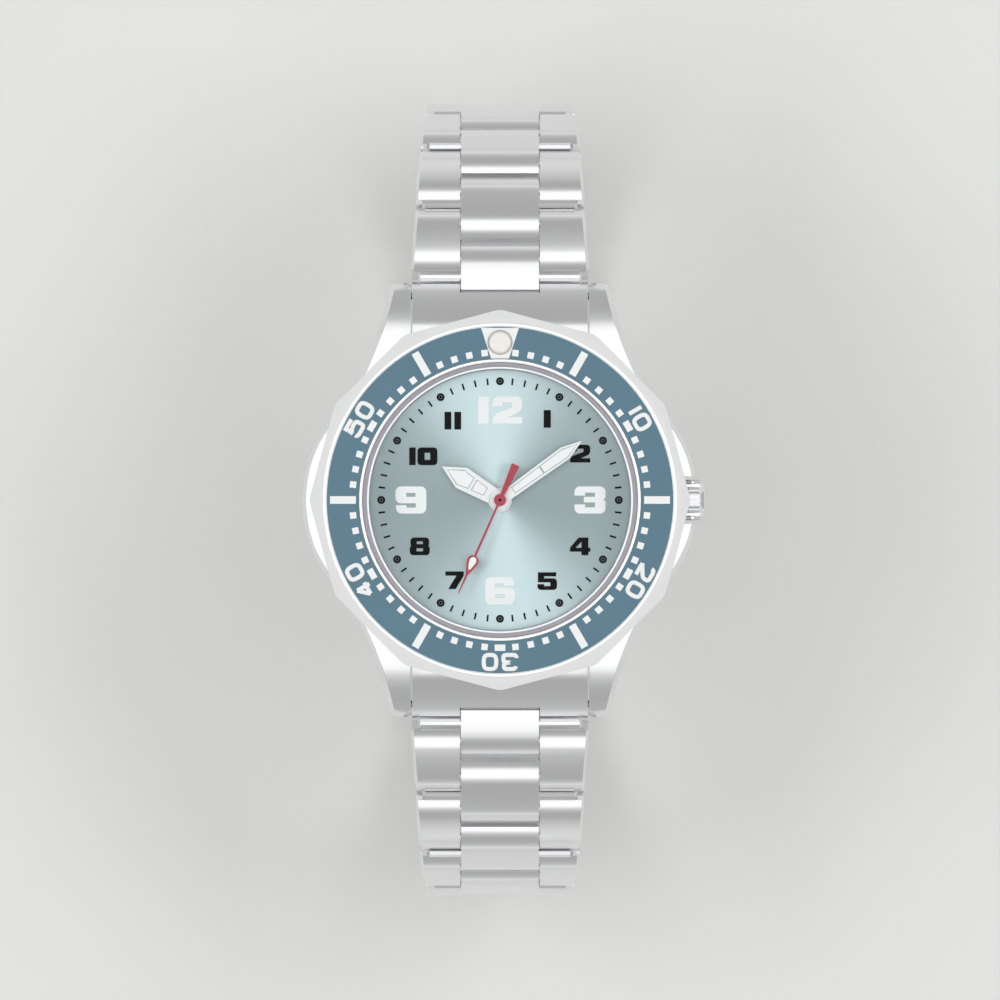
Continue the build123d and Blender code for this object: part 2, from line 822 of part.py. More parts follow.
def link_middle(index):
    """The point halfway between a link's two pins."""
    (y0, z0), (y1, z1) = pin_place(index), pin_place(index + 1)
    return (y0 + y1) / 2, (z0 + z1) / 2


def width_at_gap(gap):
    """The bracelet's width at a gap between outer links; gap 0 is at the end link."""
    return max(narrowest, lug_width - taper_per_link * gap)


def link_outline(end_radius):
    """A link's side view: nearly flat on top, rolled over at both ends and relieved underneath."""
    half_length = pin_spacing / 2 + end_radius
    crest_end_z = link_rise - crest_radius + sqrt(crest_radius**2 - crest_half**2)
    crest_angle = asin(crest_half / crest_radius)
    shoulder_x = crest_half - shoulder_radius * sin(crest_angle)
    shoulder_z = crest_end_z - shoulder_radius * cos(crest_angle)
    end_angle = asin((half_length - shoulder_x) / shoulder_radius)
    shoulder = [
        (shoulder_x + shoulder_radius * sin(angle), shoulder_z + shoulder_radius * cos(angle))
        for angle in (crest_angle, (crest_angle + end_angle) / 2, end_angle)
    ]
    with BuildLine() as outline:
        ThreePointArc((-crest_half, crest_end_z), (0, link_rise), (crest_half, crest_end_z))
        ThreePointArc(*shoulder)
        ThreePointArc(*[(-x, z) for x, z in shoulder])
        Polyline(
            shoulder[-1],
            (half_length, 0),
            (half_length - link_relief, -link_drop),
            (-half_length + link_relief, -link_drop),
            (-half_length, 0),
            (-half_length, shoulder[-1][1]),
        )
    make_face(outline.edges())


def centre_link(side, index):
    """A centre link with its two pin holes and the bar that fills the gap between the outer links."""
    y, z = link_middle(index)
    tilt = link_tilt(index)
    side_view = chain_plane(side, y, z, tilt)
    gap_width = width_at_gap(index // 2)
    half_pitch = pin_spacing / 2
    with BuildPart() as link:
        with BuildSketch(side_view):
            link_outline(centre_end_radius)
        extrude(amount=centre_width / 2, both=True)
        hole_radius = pin_radius
        if index == 0:
            # the first link hooks under the end link's roof, round the spring bar
            with BuildSketch(side_view):
                with Locations((-half_pitch - pin_spacing / 2, 0)):
                    Rectangle(pin_spacing + 2 * first_link_start, 4 * link_rise)
            extrude(amount=centre_width, both=True, mode=Mode.SUBTRACT)
            with BuildSketch(side_view):
                with Locations((-half_pitch, 0)):
                    Circle(knuckle_radius)
                with Locations((-half_pitch + knuckle_radius / 2, -knuckle_radius / 2)):
                    Rectangle(knuckle_radius, knuckle_radius)
            extrude(amount=centre_width / 2, both=True)
            hole_radius = spring_bar_radius
        with BuildSketch(side_view):
            with Locations((0, bar_rise)):
                RegularPolygon(bar_radius, bar_sides, rotation=180 / bar_sides)
        extrude(amount=gap_width / 2 - bar_end_from_rim, both=True)
        with BuildSketch(side_view):
            with Locations((-half_pitch, 0)):
                Circle(hole_radius + running_gap)
            with Locations((half_pitch, 0)):
                Circle(pin_radius + running_gap)
        extrude(amount=centre_width, both=True, mode=Mode.SUBTRACT)
    return link.part


def outer_pair(side, index):
    """Two outer links held together by the two pins pressed into them."""
    y, z = link_middle(index)
    tilt = link_tilt(index)
    side_view = chain_plane(side, y, z, tilt)
    near_width = width_at_gap(index // 2)
    far_width = width_at_gap(index // 2 + 1)
    half_length = pin_spacing / 2 + outer_end_radius
    inner = centre_width / 2 + side_gap
    with BuildPart() as pair:
        with BuildSketch(side_view):
            link_outline(outer_end_radius)
        extrude(amount=near_width / 2, both=True)
        with BuildSketch(plan_plane(side, y, z, tilt)):
            for rim in (1, -1):
                with BuildLine():
                    Polyline(
                        (rim * inner, -half_length),
                        (rim * (near_width / 2 - link_corner), -half_length),
                        (rim * near_width / 2, link_corner - half_length),
                        (rim * far_width / 2, half_length - link_corner),
                        (rim * (far_width / 2 - link_corner), half_length),
                        (rim * inner, half_length),
                        close=True,
                    )
                make_face()
        extrude(amount=2 * link_rise, both=True, mode=Mode.INTERSECT)
        # bevel along the rims, on the crown
        crown_direction = plan_plane(side, y, z, tilt).z_dir
        crown_edges = pair.edges().filter_by(
            lambda edge: (edge.center() - Vector(0, side * y, z)).dot(crown_direction) > link_rise / 2
            and abs(edge.center().X) > far_width / 2 - rim_bevel
        )
        chamfer(crown_edges, rim_bevel)
        with BuildSketch(side_view):
            with Locations((-pin_spacing / 2, 0), (pin_spacing / 2, 0)):
                Circle(pin_radius)
        extrude(amount=far_width / 2 - pin_end_inset, both=True)
        # the tab that closes the joint at the rim, beside the bar's end
        tab_outer = near_width / 2 - rim_tab_inset
        tab_length = rim_tab_reach - pin_spacing / 2
        for start in (tab_outer - rim_tab_width, -tab_outer):
            with BuildSketch(side_view.offset(start)):
                with Locations((-rim_tab_reach + tab_length / 2, 0)):
                    Rectangle(tab_length, 2 * rim_tab_half_height)
            extrude(amount=rim_tab_width)
    return pair.part


def end_link(side):
    """The piece between the lugs: two shoulders and a roof over the first link's knuckle."""
    side_view = chain_plane(side, 0, 0, 0)
    bottom = back_proud + end_link_gap
    end_y = first_pin_y + outer_end_radius
    low_y = first_pin_y + sqrt(outer_end_radius**2 - (first_pin_z - bottom) ** 2)
    top_y = first_pin_y + end_link_brow
    top_z = first_pin_z + sqrt(outer_end_radius**2 - end_link_brow**2)
    top_mid = (
        (top_y + end_link_top_y) / 2 + end_link_bulge / 2,
        (top_z + end_link_top_z) / 2 + end_link_bulge,
    )
    recess = centre_width / 2 + side_gap
    with BuildPart() as link:
        with BuildSketch(side_view):
            with BuildLine():
                Line((case_wall_radius / 2, bottom), (low_y, bottom))
                ThreePointArc((low_y, bottom), (end_y, first_pin_z), (top_y, top_z))
                ThreePointArc((top_y, top_z), top_mid, (end_link_top_y, end_link_top_z))
                Line((end_link_top_y, end_link_top_z), (case_wall_radius / 2, end_link_top_z))
                Line((case_wall_radius / 2, end_link_top_z), (case_wall_radius / 2, bottom))
            make_face()
        extrude(amount=lug_width / 2 - end_link_gap, both=True)
        # shallow grooves that carry on the centre links' edges
        for start in (recess - end_groove_width, -recess):
            with BuildSketch(side_view.offset(start)):
                with BuildLine():
                    ThreePointArc(
                        (end_link_top_y, end_link_top_z - end_groove_depth),
                        (top_mid[0], top_mid[1] - end_groove_depth),
                        (top_y, top_z - end_groove_depth),
                    )
                    Polyline(
                        (top_y, top_z - end_groove_depth),
                        (top_y, case_top),
                        (case_wall_radius / 2, case_top),
                        (case_wall_radius / 2, end_link_top_z - end_groove_depth),
                        (end_link_top_y, end_link_top_z - end_groove_depth),
                    )
                make_face()
            extrude(amount=end_groove_width, mode=Mode.SUBTRACT)
        with BuildSketch(Plane.XY):
            Circle(case_wall_radius + end_link_gap)
        extrude(amount=case_top, mode=Mode.SUBTRACT)
        with BuildSketch(side_view):
            with Locations((first_pin_y, first_pin_z)):
                Circle(knuckle_radius + knuckle_gap)
            with BuildLine():
                Polyline(
                    (first_pin_y, 0),
                    (end_y + 1, 0),
                    (end_y + 1, case_top),
                    (roof_end_y, case_top),
                    (roof_end_y, first_pin_z),
                    (first_pin_y, first_pin_z),
                    close=True,
                )
            make_face()
        extrude(amount=recess, both=True, mode=Mode.SUBTRACT)
        with BuildSketch(side_view):
            with Locations((first_pin_y, first_pin_z)):
                Circle(spring_bar_radius + press_gap)
        extrude(amount=lug_width, both=True, mode=Mode.SUBTRACT)
    return link.part


for side, hour in ((1, "12"), (-1, "6")):
    keep(f"end_link_{hour}", end_link(side))
    for index in range(links_per_side):
        number = index // 2 + 1
        if index % 2:
            keep(f"outer_links_{hour}_{number}", outer_pair(side, index))
        else:
            keep(f"centre_link_{hour}_{number}", centre_link(side, index))

with BuildPart() as lug_spring_bars:
    for side in (1, -1):
        side_view = chain_plane(side, first_pin_y, first_pin_z, 0)
        with BuildSketch(side_view):
            Circle(spring_bar_radius)
        extrude(amount=lug_width / 2 - end_link_gap, both=True)
        with BuildSketch(side_view):
            Circle(spring_bar_tip_radius)
        extrude(amount=lug_width / 2 + spring_bar_tip_reach, both=True)
keep("lug_spring_bars", lug_spring_bars.part)

# =====================================================================================
# Clasp: cover, two folding leaves and two push buttons
# =====================================================================================

last_pin_y, last_pin_z = pin_place(links_per_side)
clasp_centre_z = last_pin_z + sqrt(clasp_curve**2 - last_pin_y**2)
fork_root = last_pin_y - fork_depth
block_start = last_pin_y - block_depth


def clasp_point(y, w):
    """A point of the clasp's side view, w outside the curve through its end pins."""
    angle = asin(y / clasp_curve)
    return ((clasp_curve + w) * sin(angle), clasp_centre_z - (clasp_curve + w) * cos(angle))


def clasp_band(near, far, low, high):
    """A curved strip of the clasp's side view."""
    with BuildLine() as outline:
        Line(clasp_point(near, low), clasp_point(near, high))
        ThreePointArc(
            clasp_point(near, high), clasp_point((near + far) / 2, high), clasp_point(far, high)
        )
        Line(clasp_point(far, high), clasp_point(far, low))
        ThreePointArc(
            clasp_point(far, low), clasp_point((near + far) / 2, low), clasp_point(near, low)
        )
    make_face(outline.edges())


half_clasp = clasp_width / 2
half_leaf = leaf_width / 2
leaf_hinge_w = (long_leaf[0] + short_leaf[1]) / 2
leaf_knuckle = (long_leaf[1] - short_leaf[0]) / 2
cover_hinge = clasp_point(cover_hinge_y, (long_leaf[0] + long_leaf[1]) / 2)
leaf_hinge = clasp_point(leaf_hinge_y, leaf_hinge_w)
button_w = (cover_wall_low + cover_inner) / 2

with BuildPart() as clasp_short_leaf:
    with BuildSketch(Plane.YZ):
        clasp_band(leaf_hinge_y, (block_start + fork_root) / 2, short_leaf[0], short_leaf[1])
    extrude(amount=half_leaf, both=True)
    with BuildSketch(Plane.YZ):
        with Locations(leaf_hinge):
            Circle(leaf_knuckle)
    extrude(amount=half_leaf, both=True)
    # the middle of the hinge belongs to the long leaf
    with BuildSketch(Plane.YZ):
        with Locations(leaf_hinge):
            Circle(leaf_knuckle + hinge_gap)
    extrude(amount=middle_knuckle + hinge_gap, both=True, mode=Mode.SUBTRACT)
    with BuildSketch(Plane.YZ):
        with Locations(leaf_hinge):
            Circle(cover_hinge_pin)
    extrude(amount=half_leaf, both=True)
    # a long slot lightens the leaf
    with BuildSketch(Plane.XY.offset(last_pin_z)):
        SlotOverall(short_leaf_slot, leaf_slot_width, rotation=90)
    extrude(amount=clasp_depth, both=True, mode=Mode.SUBTRACT)
    # fork for the last centre link, with its pin
    with BuildSketch(Plane.YZ):
        clasp_band(block_start, last_pin_y, -fork_outer, fork_outer)
        with Locations((last_pin_y, last_pin_z)):
            Circle(fork_outer)
    extrude(amount=half_clasp, both=True)
    with BuildSketch(Plane.YZ):
        clasp_band(fork_root, last_pin_y + 2 * fork_outer, -2 * fork_outer, 2 * fork_outer)
    extrude(amount=fork_gap, both=True, mode=Mode.SUBTRACT)
    with BuildSketch(Plane.YZ):
        with Locations((last_pin_y, last_pin_z)):
            Circle(pin_radius)
    extrude(amount=half_clasp - fork_wall, both=True)
keep("clasp_short_leaf", clasp_short_leaf.part)

with BuildPart() as clasp_long_leaf:
    with BuildSketch(Plane.YZ):
        clasp_band(leaf_hinge_y + leaf_knuckle + hinge_gap, cover_hinge_y, long_leaf[0], long_leaf[1])
        with Locations(cover_hinge):
            Circle((long_leaf[1] - long_leaf[0]) / 2)
    extrude(amount=half_leaf, both=True)
    with BuildSketch(Plane.YZ):
        clasp_band(leaf_hinge_y, leaf_hinge_y + 2 * leaf_knuckle, long_leaf[0], long_leaf[1])
        with Locations(leaf_hinge):
            Circle(leaf_knuckle)
    extrude(amount=middle_knuckle, both=True)
    with BuildSketch(Plane.YZ):
        with Locations(leaf_hinge):
            Circle(cover_hinge_pin + running_gap)
    extrude(amount=half_leaf, both=True, mode=Mode.SUBTRACT)
    with BuildSketch(Plane.XY.offset(last_pin_z)):
        with Locations((0, long_leaf_slot_centre)):
            SlotOverall(long_leaf_slot, leaf_slot_width, rotation=90)
    extrude(amount=clasp_depth, both=True, mode=Mode.SUBTRACT)
    # pin that the cover turns on
    with BuildSketch(Plane.YZ):
        with Locations(cover_hinge):
            Circle(cover_hinge_pin)
    extrude(amount=half_clasp - fork_wall, both=True)
keep("clasp_long_leaf", clasp_long_leaf.part)

with BuildPart() as clasp_cover:
    with BuildSketch(Plane.YZ):
        clasp_band(-last_pin_y, cover_hinge_y, cover_wall_low, cover_outer)
        with Locations(cover_hinge, (-last_pin_y, last_pin_z)):
            Circle(fork_outer)
    extrude(amount=half_clasp, both=True)
    # hollow underneath
    with BuildSketch(Plane.YZ):
        clasp_band(
            cover_root - fork_root, cover_hinge_y - 2 * cover_root, -2 * cover_outer, cover_inner
        )
    extrude(amount=half_clasp - cover_wall, both=True, mode=Mode.SUBTRACT)
    # forks: round the long leaf's end and round the last centre link
    with BuildSketch(Plane.YZ):
        clasp_band(
            cover_hinge_y - cover_mouth, cover_hinge_y + 2 * cover_outer, -2 * cover_outer, 2 * cover_outer
        )
        clasp_band(
            cover_hinge_y - 2 * cover_outer, cover_hinge_y + 2 * cover_outer, -2 * cover_outer, cover_inner
        )
        clasp_band(-last_pin_y - 2 * cover_outer, -fork_root, -2 * cover_outer, 2 * cover_outer)
    extrude(amount=fork_gap, both=True, mode=Mode.SUBTRACT)
    with BuildSketch(Plane.YZ):
        with Locations(cover_hinge):
            Circle(cover_hinge_pin + running_gap)
    extrude(amount=half_clasp - fork_wall + side_gap, both=True, mode=Mode.SUBTRACT)
    # holes for the tips of the spring bar
    with BuildSketch(Plane.YZ):
        with Locations((-last_pin_y, last_pin_z)):
            Circle(clasp_bar_tip_radius + running_gap)
    extrude(amount=fork_gap + clasp_bar_tip_depth, both=True, mode=Mode.SUBTRACT)
    # windows for the push buttons
    with BuildSketch(Plane.YZ):
        with Locations(clasp_point(button_y, button_w)):
            RectangleRounded(
                button_length + 2 * running_gap,
                button_height + 2 * running_gap,
                button_corner,
                rotation=degrees(asin(button_y / clasp_curve)),
            )
    extrude(amount=half_clasp + 1, both=True, mode=Mode.SUBTRACT)
keep("clasp_cover", clasp_cover.part)

for side, name in ((1, "clasp_button_right"), (-1, "clasp_button_left")):
    with BuildPart() as button:
        with BuildSketch(Plane.YZ.offset(side * button_inner)):
            with Locations(clasp_point(button_y, button_w)):
                RectangleRounded(
                    button_length,
                    button_height,
                    button_corner,
                    rotation=degrees(asin(button_y / clasp_curve)),
                )
        extrude(amount=side * (half_clasp + button_proud - button_inner))
        outer_face = button.faces().sort_by(Axis.X)[-1 if side > 0 else 0]
        chamfer(outer_face.edges(), button_edge)
    keep(name, button.part)

with BuildPart() as clasp_spring_bar:
    with BuildSketch(Plane.YZ):
        with Locations((-last_pin_y, last_pin_z)):
            Circle(pin_radius)
    extrude(amount=centre_width / 2 - 0.1, both=True)
    with BuildSketch(Plane.YZ):
        with Locations((-last_pin_y, last_pin_z)):
            Circle(clasp_bar_tip_radius)
    extrude(amount=centre_width / 2, both=True)
keep("clasp_spring_bar", clasp_spring_bar.part)
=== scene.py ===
"""Finishes, markings, light and camera for a diver-style wristwatch on a steel bracelet.

Metres, in the frame of the solids: +Z out through the dial, +Y towards 12 o'clock and +X towards
the crown. Where a table or an outline is in millimetres, a comment says so.
"""

import json
from math import cos, pi, radians, sin

import bmesh
import bpy
from mathutils import Matrix, Vector


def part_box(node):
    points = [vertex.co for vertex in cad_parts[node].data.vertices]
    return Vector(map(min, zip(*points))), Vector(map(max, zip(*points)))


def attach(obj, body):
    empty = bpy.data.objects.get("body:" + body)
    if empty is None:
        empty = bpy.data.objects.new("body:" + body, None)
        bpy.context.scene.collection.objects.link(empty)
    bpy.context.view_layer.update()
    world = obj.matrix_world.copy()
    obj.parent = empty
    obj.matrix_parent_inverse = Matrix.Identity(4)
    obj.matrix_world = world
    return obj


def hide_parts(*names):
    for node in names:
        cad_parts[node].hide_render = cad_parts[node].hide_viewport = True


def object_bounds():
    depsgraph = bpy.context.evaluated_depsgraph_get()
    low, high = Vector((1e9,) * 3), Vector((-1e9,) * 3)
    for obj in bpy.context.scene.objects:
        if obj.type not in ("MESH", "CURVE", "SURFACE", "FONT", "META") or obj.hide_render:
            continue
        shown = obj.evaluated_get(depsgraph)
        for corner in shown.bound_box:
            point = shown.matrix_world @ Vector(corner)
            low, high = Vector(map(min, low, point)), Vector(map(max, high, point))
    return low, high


bl_info = {
    "name": "Diver watch",
    "version": (1, 0, 0),
    "blender": (4, 5, 0),
    "location": "View3D > Sidebar > Watch",
    "description": "Dresses the solids of a diver-style wristwatch",
    "category": "Add Mesh",
}

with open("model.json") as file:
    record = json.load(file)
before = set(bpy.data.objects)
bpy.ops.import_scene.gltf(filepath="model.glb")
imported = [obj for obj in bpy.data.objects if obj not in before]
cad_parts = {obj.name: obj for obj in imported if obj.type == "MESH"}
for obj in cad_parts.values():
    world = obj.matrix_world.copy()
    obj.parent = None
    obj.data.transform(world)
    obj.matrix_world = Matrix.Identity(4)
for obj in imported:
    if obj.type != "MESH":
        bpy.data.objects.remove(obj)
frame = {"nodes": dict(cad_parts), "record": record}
CAD_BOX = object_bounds()
MM = 0.001

FLOOR = CAD_BOX[0].z
DIAL_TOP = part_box("dial")[1].z
CRYSTAL_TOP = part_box("crystal")[1].z
MINUTE = 6  # degrees of a minute on the dial and the bezel

# the insert is a shallow cone that falls from its bore out to its rim
INSERT_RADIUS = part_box("bezel_insert")[1].x
INSERT_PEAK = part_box("bezel_insert")[1].z
INSERT_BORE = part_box("crystal")[1].x + 0.63 * MM
INSERT_FALL = 0.14 * MM

# where the hands point at rest, in degrees clockwise from 12
HAND_ANGLES = {"hour_hand": 300, "minute_hand": 54.2, "second_hand": 204}
HAND_TOPS = {hand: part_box(hand)[1].z for hand in HAND_ANGLES}

# =====================================================================================
# Settings
# =====================================================================================


def linear(code):
    """An sRGB hex code as linear RGBA."""
    parts = [int(code[i : i + 2], 16) / 255 for i in (1, 3, 5)]
    levels = [c / 12.92 if c <= 0.04045 else ((c + 0.055) / 1.055) ** 2.4 for c in parts]
    return (*levels, 1.0)


def length(name, description, millimetres):
    """A size in the panel, kept in metres."""
    return bpy.props.FloatProperty(
        name=name, description=description, default=millimetres * MM, unit="LENGTH", precision=5
    )


def colour(name, description, code):
    """A colour in the panel, from its sRGB hex code."""
    return bpy.props.FloatVectorProperty(
        name=name, description=description, default=linear(code)[:3], subtype="COLOR", min=0, max=1
    )


class DialSettings(bpy.types.PropertyGroup):
    """Sizes of what is printed on the dial, and the dial's colour."""

    large_height: length("Large numerals", "Height of 12, 3, 6 and 9", 3.05)
    small_height: length("Small numerals", "Height of the other hours", 1.98)
    tick_inner: length("Tick start", "Inner end of the minute ticks", 12.95)
    tick_outer: length("Tick end", "Outer end of the minute ticks", 13.7)
    tick_width: length("Tick width", "Width of the minute ticks", 0.2)
    dot_radius: length("Dot radius", "Radius of the hour dots", 0.45)
    print_height: length("Print height", "How far the printing stands above the dial", 0.03)
    numeral_print_height: length("Numeral print height", "The same for the numerals", 0.06)
    # the ring under the crystal's edge is painted shade, standing in for the grey that the
    # crystal's bevelled edge shows
    seat_width: length("Seat width", "Width of the lacquered ring under the crystal's edge", 0.24)
    seat_gap: length("Seat gap", "How far the seat's lacquer lies below the crystal", 0.01)
    eye_radius: length("Eye radius", "Radius of the grey ring in each hour dot", 0.24)
    eye_width: length("Eye width", "Width of the grey ring in each hour dot", 0.09)
    lacquer: colour("Dial lacquer", "Silver-blue of the dial", "#B6C6C9")


class HandSettings(bpy.types.PropertyGroup):
    """Sizes of the second hand and of the inlays in all three hands."""

    plate_thickness: length("Plate thickness", "Thickness of the second hand's plate", 0.2)
    pipe_radius: length("Pipe radius", "Radius of the pipe that the second hand turns on", 0.2)
    pivot_radius: length("Pivot radius", "Radius of the black pivot at the hands' centre", 0.16)
    # the groove round an inlay is drawn as a flat grey line of painted shadow
    groove_width: length("Groove width", "Groove beside and below a luminous inlay", 0.07)
    groove_tip: length("Groove tip", "Groove above a luminous inlay, towards the hand's tip", 0.09)
    groove_height: length("Groove height", "How far the groove's line stands above the hand", 0.012)
    lume_height: length("Inlay height", "How far an inlay stands above its hand", 0.04)
    second_height: length("Second inlay height", "How far the second hand's inlay stands up", 0.02)


class BezelSettings(bpy.types.PropertyGroup):
    """Sizes of the markings on the bezel's insert, and the insert's colour."""

    square_size: length("Minute square", "Side of the minute squares", 0.72)
    square_radius: length("Minute ring", "Distance of the squares from the centre", 16.55)
    bar_width: length("Bar width", "Width of the long bars", 0.85)
    bar_inner: length("Bar start", "Inner end of the long bars", 16.15)
    bar_outer: length("Bar end", "Outer end of the long bars", 19.05)
    block_width: length("Block width", "Width of the block under a numeral", 1.2)
    pearl_block_inner: length("Pearl block start", "Inner end of the pearl's block", 15.86)
    pearl_block_outer: length("Pearl block end", "Outer end of the pearl's block", 19.28)
    pearl_block_narrow: length("Pearl block, narrow", "Its width at the inner end", 2.0)
    pearl_block_wide: length("Pearl block, wide", "Its width at the outer end", 4.24)
    numeral_radius: length("Numeral ring", "Distance of the numerals from the centre", 18.15)
    numeral_height: length("Numeral height", "Height of the numerals between stroke centres", 1.58)
    stroke: length("Stroke", "Width of the numerals' strokes", 0.5)
    paint_height: length("Paint height", "How far the paint stands above the insert", 0.02)
    anodised: colour("Insert colour", "Blue-grey of the anodised insert", "#587B8C")


class StageSettings(bpy.types.PropertyGroup):
    """Floor, lamps and camera."""

    camera_height: length("Camera height", "Camera above the dial", 4000)
    picture_width: length("Picture width", "Width of the picture at the dial", 112.04)
    floor_size: length("Floor size", "Side of the floor", 8000)
    top_lamp_power: bpy.props.FloatProperty(
        name="Top lamp", description="Power of the soft box above", default=0.6, unit="POWER"
    )
    side_lamp_power: bpy.props.FloatProperty(
        name="Side lamps", description="Power of each side's soft box", default=2.2, unit="POWER"
    )


# =====================================================================================
# Materials
# =====================================================================================


def add_node(tree, kind, inputs=None, **settings):
    """Add a node with its settings, and set or link its inputs."""
    node = tree.nodes.new(kind)
    for key, value in settings.items():
        setattr(node, key, value)
    for key, value in (inputs or {}).items():
        if isinstance(value, bpy.types.NodeSocket):
            tree.links.new(value, node.inputs[key])
        else:
            node.inputs[key].default_value = value
    return node


def new_material(name):
    """An empty node material and its output node."""
    material = bpy.data.materials.new(name)
    material.use_nodes = True
    tree = material.node_tree
    tree.nodes.clear()
    return material, tree, add_node(tree, "ShaderNodeOutputMaterial")


def tinted(base, share):
    """A linear colour made darker or lighter, as RGBA."""
    return (*[min(1, c * share) for c in base[:3]], 1)


def grain(tree, cell, detail=3.0):
    """Noise on the piece's own coordinates, with a cell size in millimetres along X, Y and Z."""
    place = add_node(tree, "ShaderNodeTexCoord")
    scaled = add_node(
        tree,
        "ShaderNodeMapping",
        {"Vector": place.outputs["Object"], "Scale": [1 / (c * MM) for c in cell]},
    )
    return add_node(
        tree, "ShaderNodeTexNoise", {"Vector": scaled.outputs[0], "Scale": 1.0, "Detail": detail}
    )


def satin_stainless():
    """316L stainless steel, finished along the bracelet with a fine belt.

    The real grain is too fine to show from this far, so it is drawn coarser and only softens
    reflections.
    """
    material, tree, out = new_material("satin_stainless_316L")
    lines = grain(tree, (0.3, 12.0, 12.0), 2.0)
    spread = add_node(
        tree,
        "ShaderNodeMapRange",
        {
            "Value": lines.outputs[0],
            "From Min": 0.3,
            "From Max": 0.7,
            "To Min": 0.2,
            "To Max": 0.23,
        },
    )
    bump = add_node(
        tree,
        "ShaderNodeBump",
        {"Height": lines.outputs[0], "Strength": 0.01, "Distance": 0.01 * MM},
    )
    steel = add_node(
        tree,
        "ShaderNodeBsdfPrincipled",
        {
            "Base Color": linear("#EDEDEE"),
            "Metallic": 1.0,
            "Roughness": spread.outputs[0],
            "Normal": bump.outputs[0],
        },
    )
    tree.links.new(steel.outputs[0], out.inputs[0])
    return material


def polished_stainless():
    """316L stainless steel, buffed: near-mirror, with the faint waviness that buffing leaves."""
    material, tree, out = new_material("polished_stainless_316L")
    waves = grain(tree, (2.5, 2.5, 2.5), 1.0)
    bump = add_node(
        tree,
        "ShaderNodeBump",
        {"Height": waves.outputs[0], "Strength": 0.04, "Distance": 0.05 * MM},
    )
    steel = add_node(
        tree,
        "ShaderNodeBsdfPrincipled",
        {
            "Base Color": linear("#EFEFF0"),
            "Metallic": 1.0,
            "Roughness": 0.12,
            "Normal": bump.outputs[0],
        },
    )
    tree.links.new(steel.outputs[0], out.inputs[0])
    return material


def plain_steel():
    """Drawn steel of pins and tubes, duller than the case."""
    material, tree, out = new_material("drawn_steel")
    spots = grain(tree, (0.6, 0.6, 0.6))
    spread = add_node(
        tree, "ShaderNodeMapRange", {"Value": spots.outputs[0], "To Min": 0.3, "To Max": 0.45}
    )
    steel = add_node(
        tree,
        "ShaderNodeBsdfPrincipled",
        {"Base Color": linear("#B9BABC"), "Metallic": 1.0, "Roughness": spread.outputs[0]},
    )
    tree.links.new(steel.outputs[0], out.inputs[0])
    return material


def anodised_aluminium(base):
    """Blue-grey anodised aluminium: dyed oxide over a finely blasted disc, satin."""
    material, tree, out = new_material("anodised_aluminium")
    cloud = grain(tree, (7.0, 7.0, 7.0), 2.0)
    fine = grain(tree, (0.12, 0.12, 0.12), 2.0)
    shade = add_node(
        tree,
        "ShaderNodeMix",
        {0: cloud.outputs[0], 6: tinted(base, 0.9), 7: tinted(base, 1.08)},
        data_type="RGBA",
    )
    bump = add_node(
        tree,
        "ShaderNodeBump",
        {"Height": fine.outputs[0], "Strength": 0.06, "Distance": 0.01 * MM},
    )
    dye = add_node(
        tree,
        "ShaderNodeBsdfPrincipled",
        {
            "Base Color": shade.outputs[2],
            "Metallic": 0.25,
            "Roughness": 0.38,
            "Normal": bump.outputs[0],
        },
    )
    tree.links.new(dye.outputs[0], out.inputs[0])
    return material


def sunburst_lacquer(base):
    """Silver-blue lacquer over a brass disc brushed outwards from its centre.

    The brushing runs along the radius, so light spreads across it into bright and dark fans. On top
    of that, painted highlight and shade make the colour lighter in fans towards 12 and 6 and darker
    towards 3 and 9.
    """
    material, tree, out = new_material("sunburst_lacquer")
    place = add_node(tree, "ShaderNodeTexCoord")
    parts = add_node(tree, "ShaderNodeSeparateXYZ", {"Vector": place.outputs["Object"]})
    angle = add_node(
        tree, "ShaderNodeMath", {0: parts.outputs["Y"], 1: parts.outputs["X"]}, operation="ARCTAN2"
    )
    rays = add_node(
        tree,
        "ShaderNodeTexNoise",
        {"W": angle.outputs[0], "Scale": 90.0, "Detail": 4.0},
        noise_dimensions="1D",
    )
    # twice round the dial: lowest at 12 and 6, highest at 3 and 9; taken negative below, it paints
    # highlight fans at 12 and 6 and shade at 3 and 9
    fans = add_node(tree, "ShaderNodeMath", {0: angle.outputs[0], 1: 2.0}, operation="MULTIPLY")
    painted_fan_light = add_node(tree, "ShaderNodeMath", {0: fans.outputs[0]}, operation="COSINE")
    soft_rays = add_node(
        tree, "ShaderNodeMapRange", {"Value": rays.outputs[0], "To Min": 0.3, "To Max": 0.7}
    )
    mixed = add_node(
        tree,
        "ShaderNodeMath",
        {0: painted_fan_light.outputs[0], 1: -0.3, 2: soft_rays.outputs[0]},
        operation="MULTIPLY_ADD",
    )
    shade = add_node(
        tree,
        "ShaderNodeMix",
        {0: mixed.outputs[0], 6: tinted(base, 0.82), 7: tinted(base, 1.14)},
        data_type="RGBA",
    )
    along = add_node(tree, "ShaderNodeTangent", direction_type="RADIAL", axis="Z")
    lacquer = add_node(
        tree,
        "ShaderNodeBsdfPrincipled",
        {
            "Base Color": shade.outputs[2],
            "Metallic": 0.85,
            "Roughness": 0.42,
            "Anisotropic": 0.9,
            "Tangent": along.outputs[0],
            "Coat Weight": 0.3,
            "Coat Roughness": 0.08,
        },
    )
    tree.links.new(lacquer.outputs[0], out.inputs[0])
    return material


